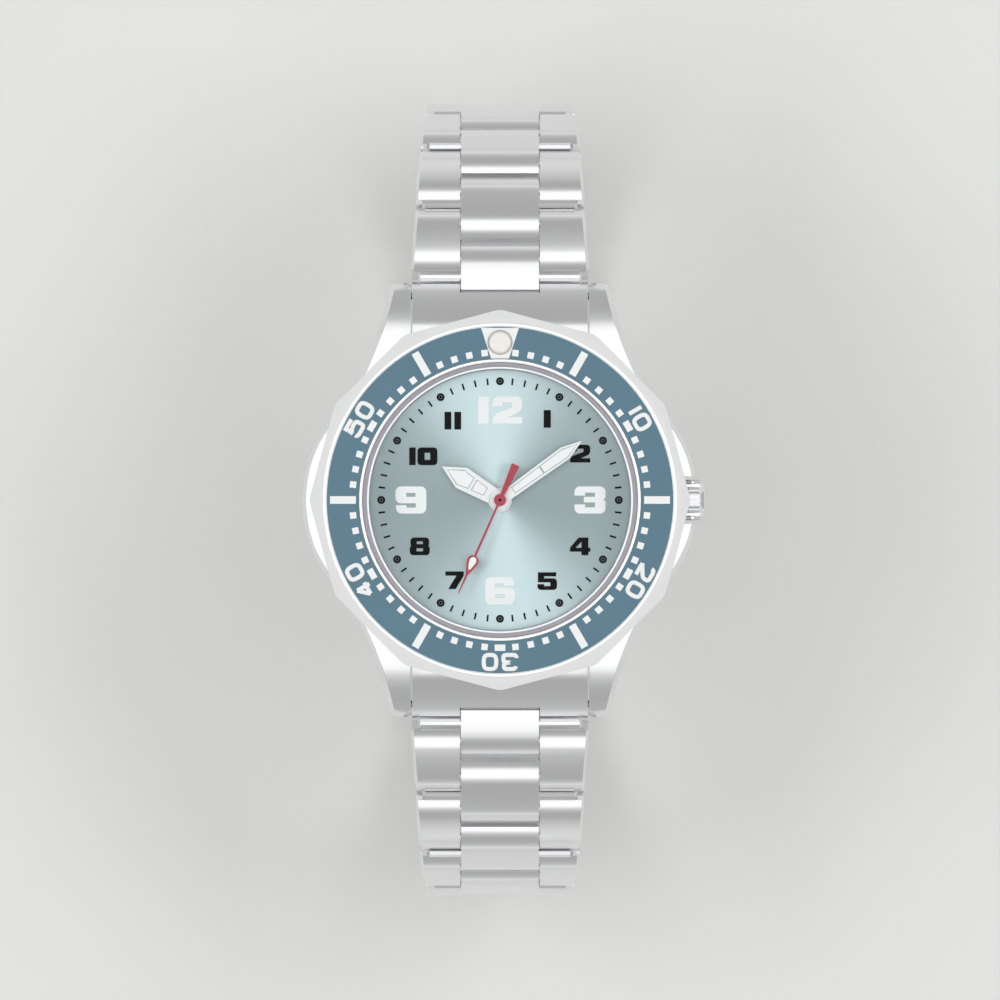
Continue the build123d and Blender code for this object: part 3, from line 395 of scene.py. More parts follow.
def paint(name, code, roughness, mottled=0.03, specular=0.5):
    """A thin layer of paint or lacquer, with the slight unevenness of a pad print."""
    material, tree, out = new_material(name)
    base = linear(code)
    cloud = grain(tree, (0.5, 0.5, 0.5), 2.0)
    shade = add_node(
        tree,
        "ShaderNodeMix",
        {0: cloud.outputs[0], 6: tinted(base, 1 - mottled), 7: tinted(base, 1 + mottled)},
        data_type="RGBA",
    )
    layer = add_node(
        tree,
        "ShaderNodeBsdfPrincipled",
        {"Base Color": shade.outputs[2], "Roughness": roughness, "Specular IOR Level": specular},
    )
    tree.links.new(layer.outputs[0], out.inputs[0])
    return material


def lilac_flange():
    """Satin metallic lacquer of the ring round the dial, grey with a lilac cast."""
    material, tree, out = new_material("metallic_flange_lacquer")
    flake = grain(tree, (0.15, 0.15, 0.15), 2.0)
    shade = add_node(
        tree,
        "ShaderNodeMix",
        {0: flake.outputs[0], 6: linear("#A7A3AA"), 7: linear("#BDBAC1")},
        data_type="RGBA",
    )
    layer = add_node(
        tree,
        "ShaderNodeBsdfPrincipled",
        {"Base Color": shade.outputs[2], "Metallic": 0.7, "Roughness": 0.3},
    )
    tree.links.new(layer.outputs[0], out.inputs[0])
    return material


def pearl_resin(centre, radius):
    """Luminous pearl under a clear dome: milky, warm white and glossy, with painted shade that
    greys it towards its edge.
    """
    material, tree, out = new_material("luminous_pearl")
    milk = grain(tree, (0.8, 0.8, 0.8), 2.0)
    body = add_node(
        tree,
        "ShaderNodeMix",
        {0: milk.outputs[0], 6: linear("#EDEAE4"), 7: linear("#F8F6F2")},
        data_type="RGBA",
    )
    place = add_node(tree, "ShaderNodeTexCoord")
    out_from = add_node(
        tree,
        "ShaderNodeVectorMath",
        {0: place.outputs["Object"], 1: centre},
        operation="DISTANCE",
    )
    # painted shade: the colour greys from about three quarters of the radius out to the pearl's
    # edge
    rim = add_node(
        tree,
        "ShaderNodeMapRange",
        {"Value": out_from.outputs["Value"], "From Min": radius * 0.72, "From Max": radius},
        interpolation_type="SMOOTHSTEP",
    )
    shade = add_node(
        tree,
        "ShaderNodeMix",
        {0: rim.outputs[0], 6: body.outputs[2], 7: linear("#A8A29C")},
        data_type="RGBA",
    )
    resin = add_node(
        tree,
        "ShaderNodeBsdfPrincipled",
        {
            "Base Color": shade.outputs[2],
            "Roughness": 0.2,
            "Subsurface Weight": 0.3,
            "Subsurface Scale": 0.3 * MM,
            "Coat Weight": 0.6,
            "Coat Roughness": 0.05,
        },
    )
    tree.links.new(resin.outputs[0], out.inputs[0])
    return material


def clear_crystal():
    """Flat sapphire, coated against glare: clear, with a mirror that only shows towards grazing.

    Light leaves it freely on its way out, so that the dial shows from low angles too.
    """
    material, tree, out = new_material("sapphire_crystal")
    haze = grain(tree, (6.0, 6.0, 6.0), 1.0)
    gloss_spread = add_node(
        tree, "ShaderNodeMapRange", {"Value": haze.outputs[0], "To Min": 0.01, "To Max": 0.03}
    )
    through = add_node(tree, "ShaderNodeBsdfTransparent", {"Color": linear("#FEFFFF")})
    mirror = add_node(
        tree,
        "ShaderNodeBsdfGlossy",
        {"Color": linear("#FFFFFF"), "Roughness": gloss_spread.outputs[0]},
    )
    edge = add_node(tree, "ShaderNodeFresnel", {"IOR": 1.12})
    top = add_node(
        tree,
        "ShaderNodeMixShader",
        {0: edge.outputs[0], 1: through.outputs[0], 2: mirror.outputs[0]},
    )
    side = add_node(tree, "ShaderNodeNewGeometry")
    mixed = add_node(
        tree,
        "ShaderNodeMixShader",
        {0: side.outputs["Backfacing"], 1: top.outputs[0], 2: through.outputs[0]},
    )
    tree.links.new(mixed.outputs[0], out.inputs[0])
    return material


def moulded_rubber():
    """Black nitrile rubber, moulded: dull, with a fine mould grain."""
    material, tree, out = new_material("moulded_nitrile")
    pits = grain(tree, (0.2, 0.2, 0.2))
    bump = add_node(
        tree, "ShaderNodeBump", {"Height": pits.outputs[0], "Strength": 0.2, "Distance": 0.02 * MM}
    )
    rubber = add_node(
        tree,
        "ShaderNodeBsdfPrincipled",
        {"Base Color": linear("#1B1B1C"), "Roughness": 0.7, "Normal": bump.outputs[0]},
    )
    tree.links.new(rubber.outputs[0], out.inputs[0])
    return material


def moulded_plastic(name, dark, light):
    """Moulded nylon or acetal: milky, half matt, with the flow marks of the mould."""
    material, tree, out = new_material(name)
    flow = grain(tree, (1.5, 1.5, 1.5), 2.0)
    shade = add_node(
        tree,
        "ShaderNodeMix",
        {0: flow.outputs[0], 6: linear(dark), 7: linear(light)},
        data_type="RGBA",
    )
    pits = grain(tree, (0.1, 0.1, 0.1))
    bump = add_node(
        tree, "ShaderNodeBump", {"Height": pits.outputs[0], "Strength": 0.1, "Distance": 0.01 * MM}
    )
    plastic = add_node(
        tree,
        "ShaderNodeBsdfPrincipled",
        {
            "Base Color": shade.outputs[2],
            "IOR": 1.48,
            "Roughness": 0.45,
            "Subsurface Weight": 0.1,
            "Subsurface Scale": 0.2 * MM,
            "Normal": bump.outputs[0],
        },
    )
    tree.links.new(plastic.outputs[0], out.inputs[0])
    return material


def plated_brass():
    """Brass plate of the movement, nickel-flashed and straight-grained."""
    material, tree, out = new_material("plated_brass")
    lines = grain(tree, (6.0, 0.15, 6.0))
    shade = add_node(
        tree,
        "ShaderNodeMix",
        {0: lines.outputs[0], 6: linear("#B7A070"), 7: linear("#CDB98C")},
        data_type="RGBA",
    )
    brass = add_node(
        tree,
        "ShaderNodeBsdfPrincipled",
        {"Base Color": shade.outputs[2], "Metallic": 1.0, "Roughness": 0.35},
    )
    tree.links.new(brass.outputs[0], out.inputs[0])
    return material


def floor_paper():
    """Pale matt paper of the floor, with the faint cloudiness of its pulp."""
    material, tree, out = new_material("pale_studio_floor")
    speckle = grain(tree, (30, 30, 30), 2.0)
    shade = add_node(
        tree,
        "ShaderNodeMix",
        {0: speckle.outputs[0], 6: linear("#E9E9E8"), 7: linear("#EDEDEC")},
        data_type="RGBA",
    )
    paper = add_node(
        tree, "ShaderNodeBsdfPrincipled", {"Base Color": shade.outputs[2], "Roughness": 0.9}
    )
    tree.links.new(paper.outputs[0], out.inputs[0])
    return material


# =====================================================================================
# Making pieces
# =====================================================================================

SAME_POINT = 0.002 * MM  # corners of a solid's triangles nearer than this are one
SAME_FACE = radians(0.4)  # triangles that turn less than this lie in one face
BROKEN_ANGLE = radians(32)  # edges sharper than this are broken


def keep_mesh(bm, name):
    """Turn a bmesh into a piece whose object sits at the origin."""
    mesh = bpy.data.meshes.new(name)
    bm.to_mesh(mesh)
    bm.free()
    piece = bpy.data.objects.new(name, mesh)
    bpy.context.scene.collection.objects.link(piece)
    return piece


def settle(piece, body, material):
    """Give a piece its material, and let it ride on its body."""
    piece.data.materials.clear()
    piece.data.materials.append(material)
    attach(piece, body)


def smooth_by_angle(bm, degrees):
    """Smooth shading, with edges sharper than the angle left sharp."""
    for face in bm.faces:
        face.smooth = True
    for edge in bm.edges:
        edge.smooth = edge.calc_face_angle(pi) < radians(degrees)


def machined(bm, node, body, material, edge, segments=2, crease=30):
    """A piece that stands for a solid, with its edges broken.

    The edge is the broken edge's width in millimetres, and the crease is the angle in degrees past
    which an edge is shaded sharp.
    """
    smooth_by_angle(bm, crease)
    piece = keep_mesh(bm, node + "_finished")
    bevel = piece.modifiers.new("Broken edges", "BEVEL")
    bevel.width = edge * MM
    bevel.segments = segments
    bevel.limit_method = "ANGLE"
    bevel.angle_limit = BROKEN_ANGLE
    bevel.harden_normals = True
    settle(piece, body, material)
    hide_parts(node)


def dressed_solid(node, body, material, edge, segments=2, crease=30):
    """A machined piece in the shape of its solid."""
    bm = bmesh.new()
    bm.from_mesh(frame["nodes"][node].data)
    bmesh.ops.remove_doubles(bm, verts=bm.verts, dist=SAME_POINT)
    bmesh.ops.dissolve_limit(
        bm, angle_limit=SAME_FACE, verts=bm.verts, edges=bm.edges, use_dissolve_boundaries=False
    )
    machined(bm, node, body, material, edge, segments, crease)


def finish_solid(node, material):
    """A solid whose shape is shown as it is."""
    for place in frame["nodes"][node].material_slots:
        place.material = material


def turn_to(bm, clockwise, radius=0.0, height=0.0):
    """Move a flat shape out along 12 o'clock and turn it clockwise by the angle in degrees."""
    turn = Matrix.Rotation(radians(-clockwise), 4, "Z")
    place = turn @ Matrix.Translation((0, radius, height))
    bmesh.ops.transform(bm, matrix=place, verts=bm.verts)


def raise_print(bm, thickness):
    """Give flat printing its thickness."""
    made = bmesh.ops.extrude_face_region(bm, geom=bm.faces[:])
    verts = [v for v in made["geom"] if isinstance(v, bmesh.types.BMVert)]
    bmesh.ops.translate(bm, verts=verts, vec=(0, 0, thickness))
    bmesh.ops.recalc_face_normals(bm, faces=bm.faces)


def join_into(target, bm):
    """Add one bmesh to another."""
    scratch = bpy.data.meshes.new("scratch")
    bm.to_mesh(scratch)
    bm.free()
    target.from_mesh(scratch)
    bpy.data.meshes.remove(scratch)


def rectangle(width, height):
    """A flat rectangle centred on the origin."""
    bm = bmesh.new()
    bmesh.ops.create_grid(bm, x_segments=1, y_segments=1, size=0.5)
    bmesh.ops.scale(bm, vec=(width, height, 1), verts=bm.verts)
    return bm


def flat_ring(outer, width, segments):
    """A flat ring round the origin."""
    bm = bmesh.new()
    bmesh.ops.create_circle(bm, cap_ends=True, segments=segments, radius=outer)
    middle = bm.faces[:]
    bmesh.ops.inset_region(
        bm, faces=middle, thickness=width, use_boundary=True, use_even_offset=True
    )
    bmesh.ops.delete(bm, geom=middle, context="FACES")
    return bm


def flat_shape(outline):
    """A flat face from its corners (across, up) in millimetres."""
    bm = bmesh.new()
    bm.faces.new([bm.verts.new((x * MM, y * MM, 0)) for x, y in outline])
    return bm


def mirrored(half):
    """A closed outline from its right half, whose points run from the bottom to the top."""
    return half + [(-x, y) for x, y in reversed(half) if x > 0]


# =====================================================================================
# Numerals
# =====================================================================================

# Numerals with square shoulders and heavy uprights. A corner is (across, up, rounded),
# in shares of the numeral's width and height; the first loop is the outline, the rest are holes.
BLOCK_NUMERALS = {
    "0": [
        [(0, 0, 1), (1, 0, 1), (1, 1, 1), (0, 1, 1)],
        [(0.36, 0.3, 0), (0.64, 0.3, 0), (0.64, 0.7, 0), (0.36, 0.7, 0)],
    ],
    "1": [
        [(0, 0, 0), (1, 0, 0), (1, 1, 0), (0, 1, 0)],
    ],
    "2": [
        [
            (0, 0, 0), (1, 0, 0), (1, 0.24, 0), (0.52, 0.24, 0), (1, 0.46, 1), (1, 1, 1), (0, 1, 1),
            (0, 0.64, 0), (0.34, 0.64, 0), (0.34, 0.78, 0), (0.66, 0.78, 0), (0.66, 0.6, 0),
            (0, 0.32, 1)
        ],
    ],
    "3": [
        [
            (0, 0, 1), (1, 0, 1), (1, 0.45, 0), (0.93, 0.52, 0), (1, 0.59, 0), (1, 1, 1), (0, 1, 1),
            (0, 0.66, 0), (0.34, 0.66, 0), (0.34, 0.77, 0), (0.66, 0.77, 0), (0.66, 0.62, 0),
            (0.3, 0.62, 0), (0.3, 0.41, 0), (0.66, 0.41, 0), (0.66, 0.23, 0), (0.34, 0.23, 0),
            (0.34, 0.34, 0), (0, 0.34, 0)
        ],
    ],
    "4": [
        [
            (0.56, 0, 0), (0.9, 0, 0), (0.9, 0.2, 0), (1, 0.2, 0), (1, 0.42, 0), (0.9, 0.42, 0),
            (0.9, 1, 0), (0.42, 1, 0), (0, 0.44, 0), (0, 0.2, 0), (0.56, 0.2, 0)
        ],
        [(0.28, 0.42, 0), (0.56, 0.42, 0), (0.56, 0.76, 0)],
    ],
    "5": [
        [
            (0, 0, 1), (1, 0, 1), (1, 0.66, 1), (0.34, 0.66, 0), (0.34, 0.77, 0), (0.96, 0.77, 0),
            (0.96, 1, 0), (0.02, 1, 0), (0.02, 0.43, 0), (0.66, 0.43, 0), (0.66, 0.22, 0),
            (0.34, 0.22, 0), (0.34, 0.33, 0), (0, 0.33, 0)
        ],
    ],
    "6": [
        [
            (0, 0, 1), (1, 0, 1), (1, 0.62, 1), (0.34, 0.62, 0), (0.34, 0.78, 0), (0.64, 0.78, 0),
            (0.64, 0.69, 0), (0.98, 0.69, 0), (0.98, 1, 1), (0, 1, 1)
        ],
        [(0.35, 0.24, 0), (0.65, 0.24, 0), (0.65, 0.38, 0), (0.35, 0.38, 0)],
    ],
    "7": [
        [
            (0.16, 0, 0), (0.56, 0, 0), (1, 0.76, 0), (1, 1, 0), (0, 1, 0), (0, 0.76, 0),
            (0.6, 0.76, 0)
        ],
    ],
    "8": [
        [
            (0, 0, 1), (1, 0, 1), (1, 0.45, 0), (0.92, 0.53, 0), (0.97, 0.6, 0), (0.97, 1, 1),
            (0.03, 1, 1), (0.03, 0.6, 0), (0.08, 0.53, 0), (0, 0.45, 0)
        ],
        [(0.34, 0.22, 0), (0.66, 0.22, 0), (0.66, 0.39, 0), (0.34, 0.39, 0)],
        [(0.35, 0.63, 0), (0.65, 0.63, 0), (0.65, 0.78, 0), (0.35, 0.78, 0)],
    ],
}


SHOULDER = 0.2  # how far a rounded corner reaches, as a share of the numeral's height


def block_numeral(digit, width, height, left):
    """One flat numeral; 9 is a 6 turned over."""
    bm = bmesh.new()
    loops = BLOCK_NUMERALS["6" if digit == "9" else digit]
    for corners in loops:
        verts = [bm.verts.new((x * width, y * height, 0)) for x, y, _ in corners]
        bm.faces.new(verts)
        soft = [v for v, (_, _, rounded) in zip(verts, corners) if rounded]
        if soft:
            bmesh.ops.bevel(
                bm,
                geom=soft,
                offset=SHOULDER * height,
                offset_type="OFFSET",
                segments=5,
                profile=0.5,
                affect="VERTICES",
                material=-1,
                clamp_overlap=True,
            )
    bmesh.ops.delete(bm, geom=bm.faces[:], context="FACES_ONLY")
    bmesh.ops.triangle_fill(bm, use_beauty=True, use_dissolve=False, edges=bm.edges[:])
    bmesh.ops.translate(bm, verts=bm.verts, vec=(-width / 2, -height / 2, 0))
    if digit == "9":
        bmesh.ops.rotate(bm, verts=bm.verts, matrix=Matrix.Rotation(pi, 3, "Z"))
    bmesh.ops.translate(bm, verts=bm.verts, vec=(left + width / 2, 0, 0))
    return bm


# Centre lines of rounded numerals, as control points in shares of their width and height; True
# closes a line.
ROUND_NUMERALS = {
    "0": [
        (
            True,
            [(0.5, 0), (0.06, 0), (0, 0.5), (0.06, 1), (0.5, 1), (0.94, 1), (1, 0.5), (0.94, 0)],
        )
    ],
    "1": [(False, [(0.5, 0), (0.5, 1)])],
    "2": [
        (False, [(0.05, 0.78), (0.05, 1), (0.5, 1), (0.98, 1), (0.98, 0.68), (0.9, 0.45), (0, 0)]),
        (False, [(0, 0), (1, 0)]),
    ],
    "3": [
        (
            False,
            [(0.05, 0.8), (0.1, 1), (0.5, 1), (0.95, 1), (0.95, 0.77), (0.95, 0.54), (0.45, 0.54)],
        ),
        (False, [(0.45, 0.54), (1, 0.54), (1, 0.27), (1, 0), (0.5, 0), (0, 0), (0, 0.22)]),
    ],
    "4": [
        (False, [(0.72, 0), (0.72, 1)]),
        (False, [(0.72, 1), (0, 0.28)]),
        (False, [(0, 0.28), (1, 0.28)]),
    ],
    "5": [
        (False, [(0.92, 1), (-0.1, 1)]),
        (False, [(0.12, 1), (0.03, 0.4)]),
        (
            False,
            [(0.05, 0.52), (0.4, 0.68), (1, 0.66), (1, 0.32), (1, 0), (0.5, 0), (0, 0), (0, 0.2)],
        ),
    ],
}


ROUND_WIDTH = 0.93  # width of a rounded numeral, as a share of its height
ROUND_GAP = 1.55  # between the centre lines of two rounded numerals, in strokes
ROUND_THICKNESS = 0.1  # of a stroke, as a share of its width


def round_numeral(digit, width, height, stroke, left):
    """A flat numeral of even, round-ended strokes."""
    line = bpy.data.curves.new("strokes", "CURVE")
    line.dimensions = "3D"
    line.bevel_depth = stroke / 2
    line.bevel_resolution = 2
    line.use_fill_caps = True
    for closed, points in ROUND_NUMERALS[digit]:
        spline = line.splines.new("NURBS")
        spline.points.add(len(points) - 1)
        for point, (x, y) in zip(spline.points, points):
            point.co = (left + x * width, (y - 0.5) * height, 0, 1)
        spline.use_cyclic_u = closed
        spline.order_u = 4 if closed else 3
        spline.use_endpoint_u = not closed
        spline.resolution_u = 4
    holder = bpy.data.objects.new("strokes", line)
    mesh = bpy.data.meshes.new_from_object(holder)
    bm = bmesh.new()
    bm.from_mesh(mesh)
    bpy.data.objects.remove(holder)
    bpy.data.curves.remove(line)
    bpy.data.meshes.remove(mesh)
    bmesh.ops.scale(bm, vec=(1, 1, ROUND_THICKNESS), verts=bm.verts)
    return bm


# =====================================================================================
# Pieces
# =====================================================================================


class WATCH_OT_case(bpy.types.Operator):
    """Case middle, case back, end links and spring bars"""

    bl_idname = "watch.case"
    bl_label = "Case"

    def execute(self, context):
        satin, plain = satin_stainless(), plain_steel()
        dressed_solid("case_middle", "case", satin, edge=0.12)
        dressed_solid("case_back", "case", satin, edge=0.1)
        for hour in ("12", "6"):
            dressed_solid(f"end_link_{hour}", "case", satin, edge=0.08)
        for node in ("lug_spring_bars", "crown_tube", "bezel_click_spring"):
            finish_solid(node, plain)
        return {"FINISHED"}


class WATCH_OT_inside(bpy.types.Operator):
    """Movement, battery, holder and gaskets"""

    bl_idname = "watch.inside"
    bl_label = "Inside"

    def execute(self, context):
        rubber = moulded_rubber()
        finish_solid("movement", plated_brass())
        finish_solid("battery", bpy.data.materials["drawn_steel"])
        finish_solid("movement_holder", moulded_plastic("moulded_acetal", "#D6D4CB", "#E3E1DA"))
        finish_solid("crystal_gasket", moulded_plastic("moulded_nylon", "#A19DA6", "#B1ADB6"))
        for node in ("case_back_gasket", "crown_gasket"):
            finish_solid(node, rubber)
        return {"FINISHED"}


class WATCH_OT_bezel(bpy.types.Operator):
    """Bezel ring, insert and pearl"""

    bl_idname = "watch.bezel"
    bl_label = "Bezel"

    def execute(self, context):
        settings = context.scene.watch_bezel
        polished = polished_stainless()
        dressed_solid("bezel_ring", "bezel", polished, edge=0.06, crease=12)
        finish_solid("bezel_insert", anodised_aluminium(settings.anodised))
        low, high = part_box("bezel_pip")
        middle = (low + high) / 2
        middle.z = INSERT_PEAK
        pearl = pearl_resin(middle, (high.x - low.x) / 2)
        dressed_solid("bezel_pip", "bezel", pearl, edge=0.03)
        return {"FINISHED"}


def lay_on_insert(bm):
    """Let flat markings follow the insert's shallow cone."""
    for vert in bm.verts:
        out = (vert.co.to_2d().length - INSERT_BORE) / (INSERT_RADIUS - INSERT_BORE)
        vert.co.z += INSERT_PEAK - INSERT_FALL * out


def pearl_block(settings):
    """The flat block that the pearl sits on, wider towards the rim."""
    narrow, wide = settings.pearl_block_narrow / 2, settings.pearl_block_wide / 2
    inner, outer = settings.pearl_block_inner, settings.pearl_block_outer
    bm = bmesh.new()
    corners = [(-narrow, inner), (narrow, inner), (wide, outer), (-wide, outer)]
    bm.faces.new([bm.verts.new((x, y, 0)) for x, y in corners])
    return bm


class WATCH_OT_bezel_markings(bpy.types.Operator):
    """White squares, bars and numerals on the insert"""

    bl_idname = "watch.bezel_markings"
    bl_label = "Bezel markings"

    def execute(self, context):
        settings = context.scene.watch_bezel
        marks = bmesh.new()
        for minute in range(1, 60):
            if minute % 10 == 5:
                shape = rectangle(settings.bar_width, settings.bar_outer - settings.bar_inner)
                middle = (settings.bar_inner + settings.bar_outer) / 2
            else:
                width = settings.square_size if minute % 10 else settings.block_width
                shape = rectangle(width, settings.square_size)
                middle = settings.square_radius
            turn_to(shape, minute * MINUTE, middle)
            join_into(marks, shape)
        join_into(marks, pearl_block(settings))
        raise_print(marks, settings.paint_height)
        height, stroke = settings.numeral_height, settings.stroke
        wide, gap = height * ROUND_WIDTH, stroke * ROUND_GAP
        for minute in range(10, 60, 10):
            first, second = str(minute)
            first_width = 0 if first == "1" else wide
            total = first_width + gap + wide
            for digit, width, left in (
                (first, first_width, -total / 2),
                (second, wide, total / 2 - wide),
            ):
                shape = round_numeral(digit, width, height, stroke, left)
                turn_to(shape, minute * MINUTE, settings.numeral_radius)
                join_into(marks, shape)
        lay_on_insert(marks)
        white = paint("white_luminous_paint", "#F6F8F7", 0.55)
        settle(keep_mesh(marks, "bezel_markings"), "bezel", white)
        return {"FINISHED"}


class WATCH_OT_crystal(bpy.types.Operator):
    """Sapphire crystal"""

    bl_idname = "watch.crystal"
    bl_label = "Crystal"

    def execute(self, context):
        finish_solid("crystal", clear_crystal())
        return {"FINISHED"}


class WATCH_OT_dial(bpy.types.Operator):
    """Sunburst dial, the flange round it, and a grey ring of painted shade under the crystal's edge
    """

    bl_idname = "watch.dial"
    bl_label = "Dial"

    def execute(self, context):
        settings = context.scene.watch_dial
        finish_solid("dial", sunburst_lacquer(settings.lacquer))
        flange = lilac_flange()
        dressed_solid("chapter_ring", "case", flange, edge=0.05)
        # painted shade: a ring of the flange's lacquer under the crystal's bevelled edge, standing
        # in for the grey that edge shows
        low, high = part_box("crystal")
        seat = flat_ring(high.x, settings.seat_width, segments=128)
        bmesh.ops.translate(seat, verts=seat.verts, vec=(0, 0, low.z - settings.seat_gap))
        settle(keep_mesh(seat, "crystal_edge_painted_shade"), "case", flange)
        return {"FINISHED"}


class WATCH_OT_minute_track(bpy.types.Operator):
    """Black ticks and hour dots printed on the dial"""

    bl_idname = "watch.minute_track"
    bl_label = "Minute track"

    def execute(self, context):
        settings = context.scene.watch_dial
        marks, eyes = bmesh.new(), bmesh.new()
        middle = (settings.tick_inner + settings.tick_outer) / 2
        for minute in range(60):
            if minute % 5:
                shape = rectangle(settings.tick_width, settings.tick_outer - settings.tick_inner)
            else:
                shape = bmesh.new()
                bmesh.ops.create_circle(
                    shape, cap_ends=True, segments=24, radius=settings.dot_radius
                )
                eye = flat_ring(settings.eye_radius, settings.eye_width, segments=16)
                raise_print(eye, settings.print_height)
                turn_to(eye, minute * MINUTE, middle, DIAL_TOP + settings.print_height)
                join_into(eyes, eye)
            raise_print(shape, settings.print_height)
            turn_to(shape, minute * MINUTE, middle, DIAL_TOP)
            join_into(marks, shape)
        black = paint("black_matt_ink", "#040405", 0.6, specular=0.15)
        settle(keep_mesh(marks, "minute_track"), "case", black)
        grey = paint("grey_ink", "#5E6466", 0.6)
        settle(keep_mesh(eyes, "hour_dot_eyes"), "case", grey)
        return {"FINISHED"}


# Hour numerals in millimetres: each digit with its left edge and width, both from the numeral's
# middle, and then where that middle lies on the dial.
LARGE_NUMERALS = [
    ((("1", -2.5, 1.26), ("2", -0.84, 3.33)), 0.0, 10.1),
    ((("3", -1.74, 3.48),), 10.1, 0.0),
    ((("6", -1.68, 3.36),), 0.0, -10.2),
    ((("9", -1.73, 3.46),), -10.0, 0.0),
]
SMALL_NUMERALS = [
    ((("1", -0.92, 0.76), ("1", 0.18, 0.76)), -5.3, 8.9),
    ((("1", -0.4, 0.8),), 5.3, 9.1),
    ((("1", -1.58, 0.72), ("0", -0.66, 2.24)), -8.6, 4.9),
    ((("2", -1.13, 2.26),), 9.0, 5.2),
    ((("8", -1.12, 2.24),), -9.0, -5.2),
    ((("4", -1.14, 2.28),), 9.0, -5.2),
    ((("7", -1.03, 2.06),), -5.1, -9.0),
    ((("5", -1.09, 2.18),), 5.3, -9.1),
]


class WATCH_OT_numerals(bpy.types.Operator):
    """Hour numerals: four large white ones, the others small and black"""

    bl_idname = "watch.numerals"
    bl_label = "Numerals"

    def execute(self, context):
        settings = context.scene.watch_dial
        white = paint("white_numeral_lume", "#FFFFFF", 0.5, mottled=0.01)
        black = bpy.data.materials["black_matt_ink"]
        for name, rows, height, material, slot in (
            ("white_numerals", LARGE_NUMERALS, settings.large_height, white, "hand_paint"),
            ("black_numerals", SMALL_NUMERALS, settings.small_height, black, "dial_paint"),
        ):
            marks = bmesh.new()
            for digits, x, y in rows:
                for digit, left, width in digits:
                    shape = block_numeral(digit, width * MM, height, left * MM)
                    raise_print(shape, settings.numeral_print_height)
                    bmesh.ops.translate(shape, verts=shape.verts, vec=(x * MM, y * MM, DIAL_TOP))
                    join_into(marks, shape)
            settle(keep_mesh(marks, name), "case", material)
        return {"FINISHED"}


# Outlines of the hands, in millimetres across and along the hand. The second hand has a flat tail,
# a needle and a drop near its tip; its outlines are right halves, from the tail to the tip.
HUB_RADIUS = 0.68
SECOND_TAIL = [(0.4, -4.33), (0.47, -4.25)]
SECOND_DROP = [
    (0.13, 6.85), (0.42, 6.98), (0.6, 7.22), (0.65, 7.52), (0.58, 7.88), (0.44, 8.32), (0.27, 8.8)
]
SECOND_TIP = [(0.12, 9.25), (0.06, 11.45)]
SECOND_LUME = [
    (0, 7.02), (0.22, 7.1), (0.36, 7.3), (0.38, 7.55), (0.31, 7.9), (0.14, 8.45), (0, 8.6)
]
LUME_OUTLINES = [
    ("hour_hand", [(-0.42, 1.9), (0.42, 1.9), (0.62, 3.3), (-0.62, 3.3)]),
    ("hour_hand", [(-0.64, 3.78), (0.64, 3.78), (0.86, 5.05), (0, 6.75), (-0.86, 5.05)]),
    ("minute_hand", [(-0.32, 1.9), (0.32, 1.9), (0.42, 5.7), (-0.42, 5.7)]),
    ("minute_hand", [(-0.42, 5.88), (0.42, 5.88), (0.5, 8.9), (0, 10.6), (-0.5, 8.9)]),
]


def second_hand_plate(thickness, top):
    """The second hand's plate: tail, hub, needle and drop."""
    hub = [
        (HUB_RADIUS * cos(radians(angle)), HUB_RADIUS * sin(radians(angle)))
        for angle in range(-70, 81, 10)
    ]
    bm = flat_shape(mirrored([*SECOND_TAIL, *hub, *SECOND_DROP, *SECOND_TIP]))
    raise_print(bm, thickness)
    turn_to(bm, HAND_ANGLES["second_hand"], 0, top - thickness)
    return bm


def groove_round(outline, settings):
    """The outline of the grey line painted as the shadow of the groove that an inlay lies in."""
    side, tip = settings.groove_width / MM, settings.groove_tip / MM
    middle = sum(y for _, y in outline) / len(outline)
    return [
        (x + side * ((x > 0) - (x < 0)), y + (tip if y > middle else -side)) for x, y in outline
    ]


def lay_in_hand(name, hand, bm, height, material):
    """Lay a flat shape on a hand, as a thin plate that turns with it."""
    raise_print(bm, height)
    turn_to(bm, HAND_ANGLES[hand], 0, HAND_TOPS[hand])
    settle(keep_mesh(bm, name), hand, material)


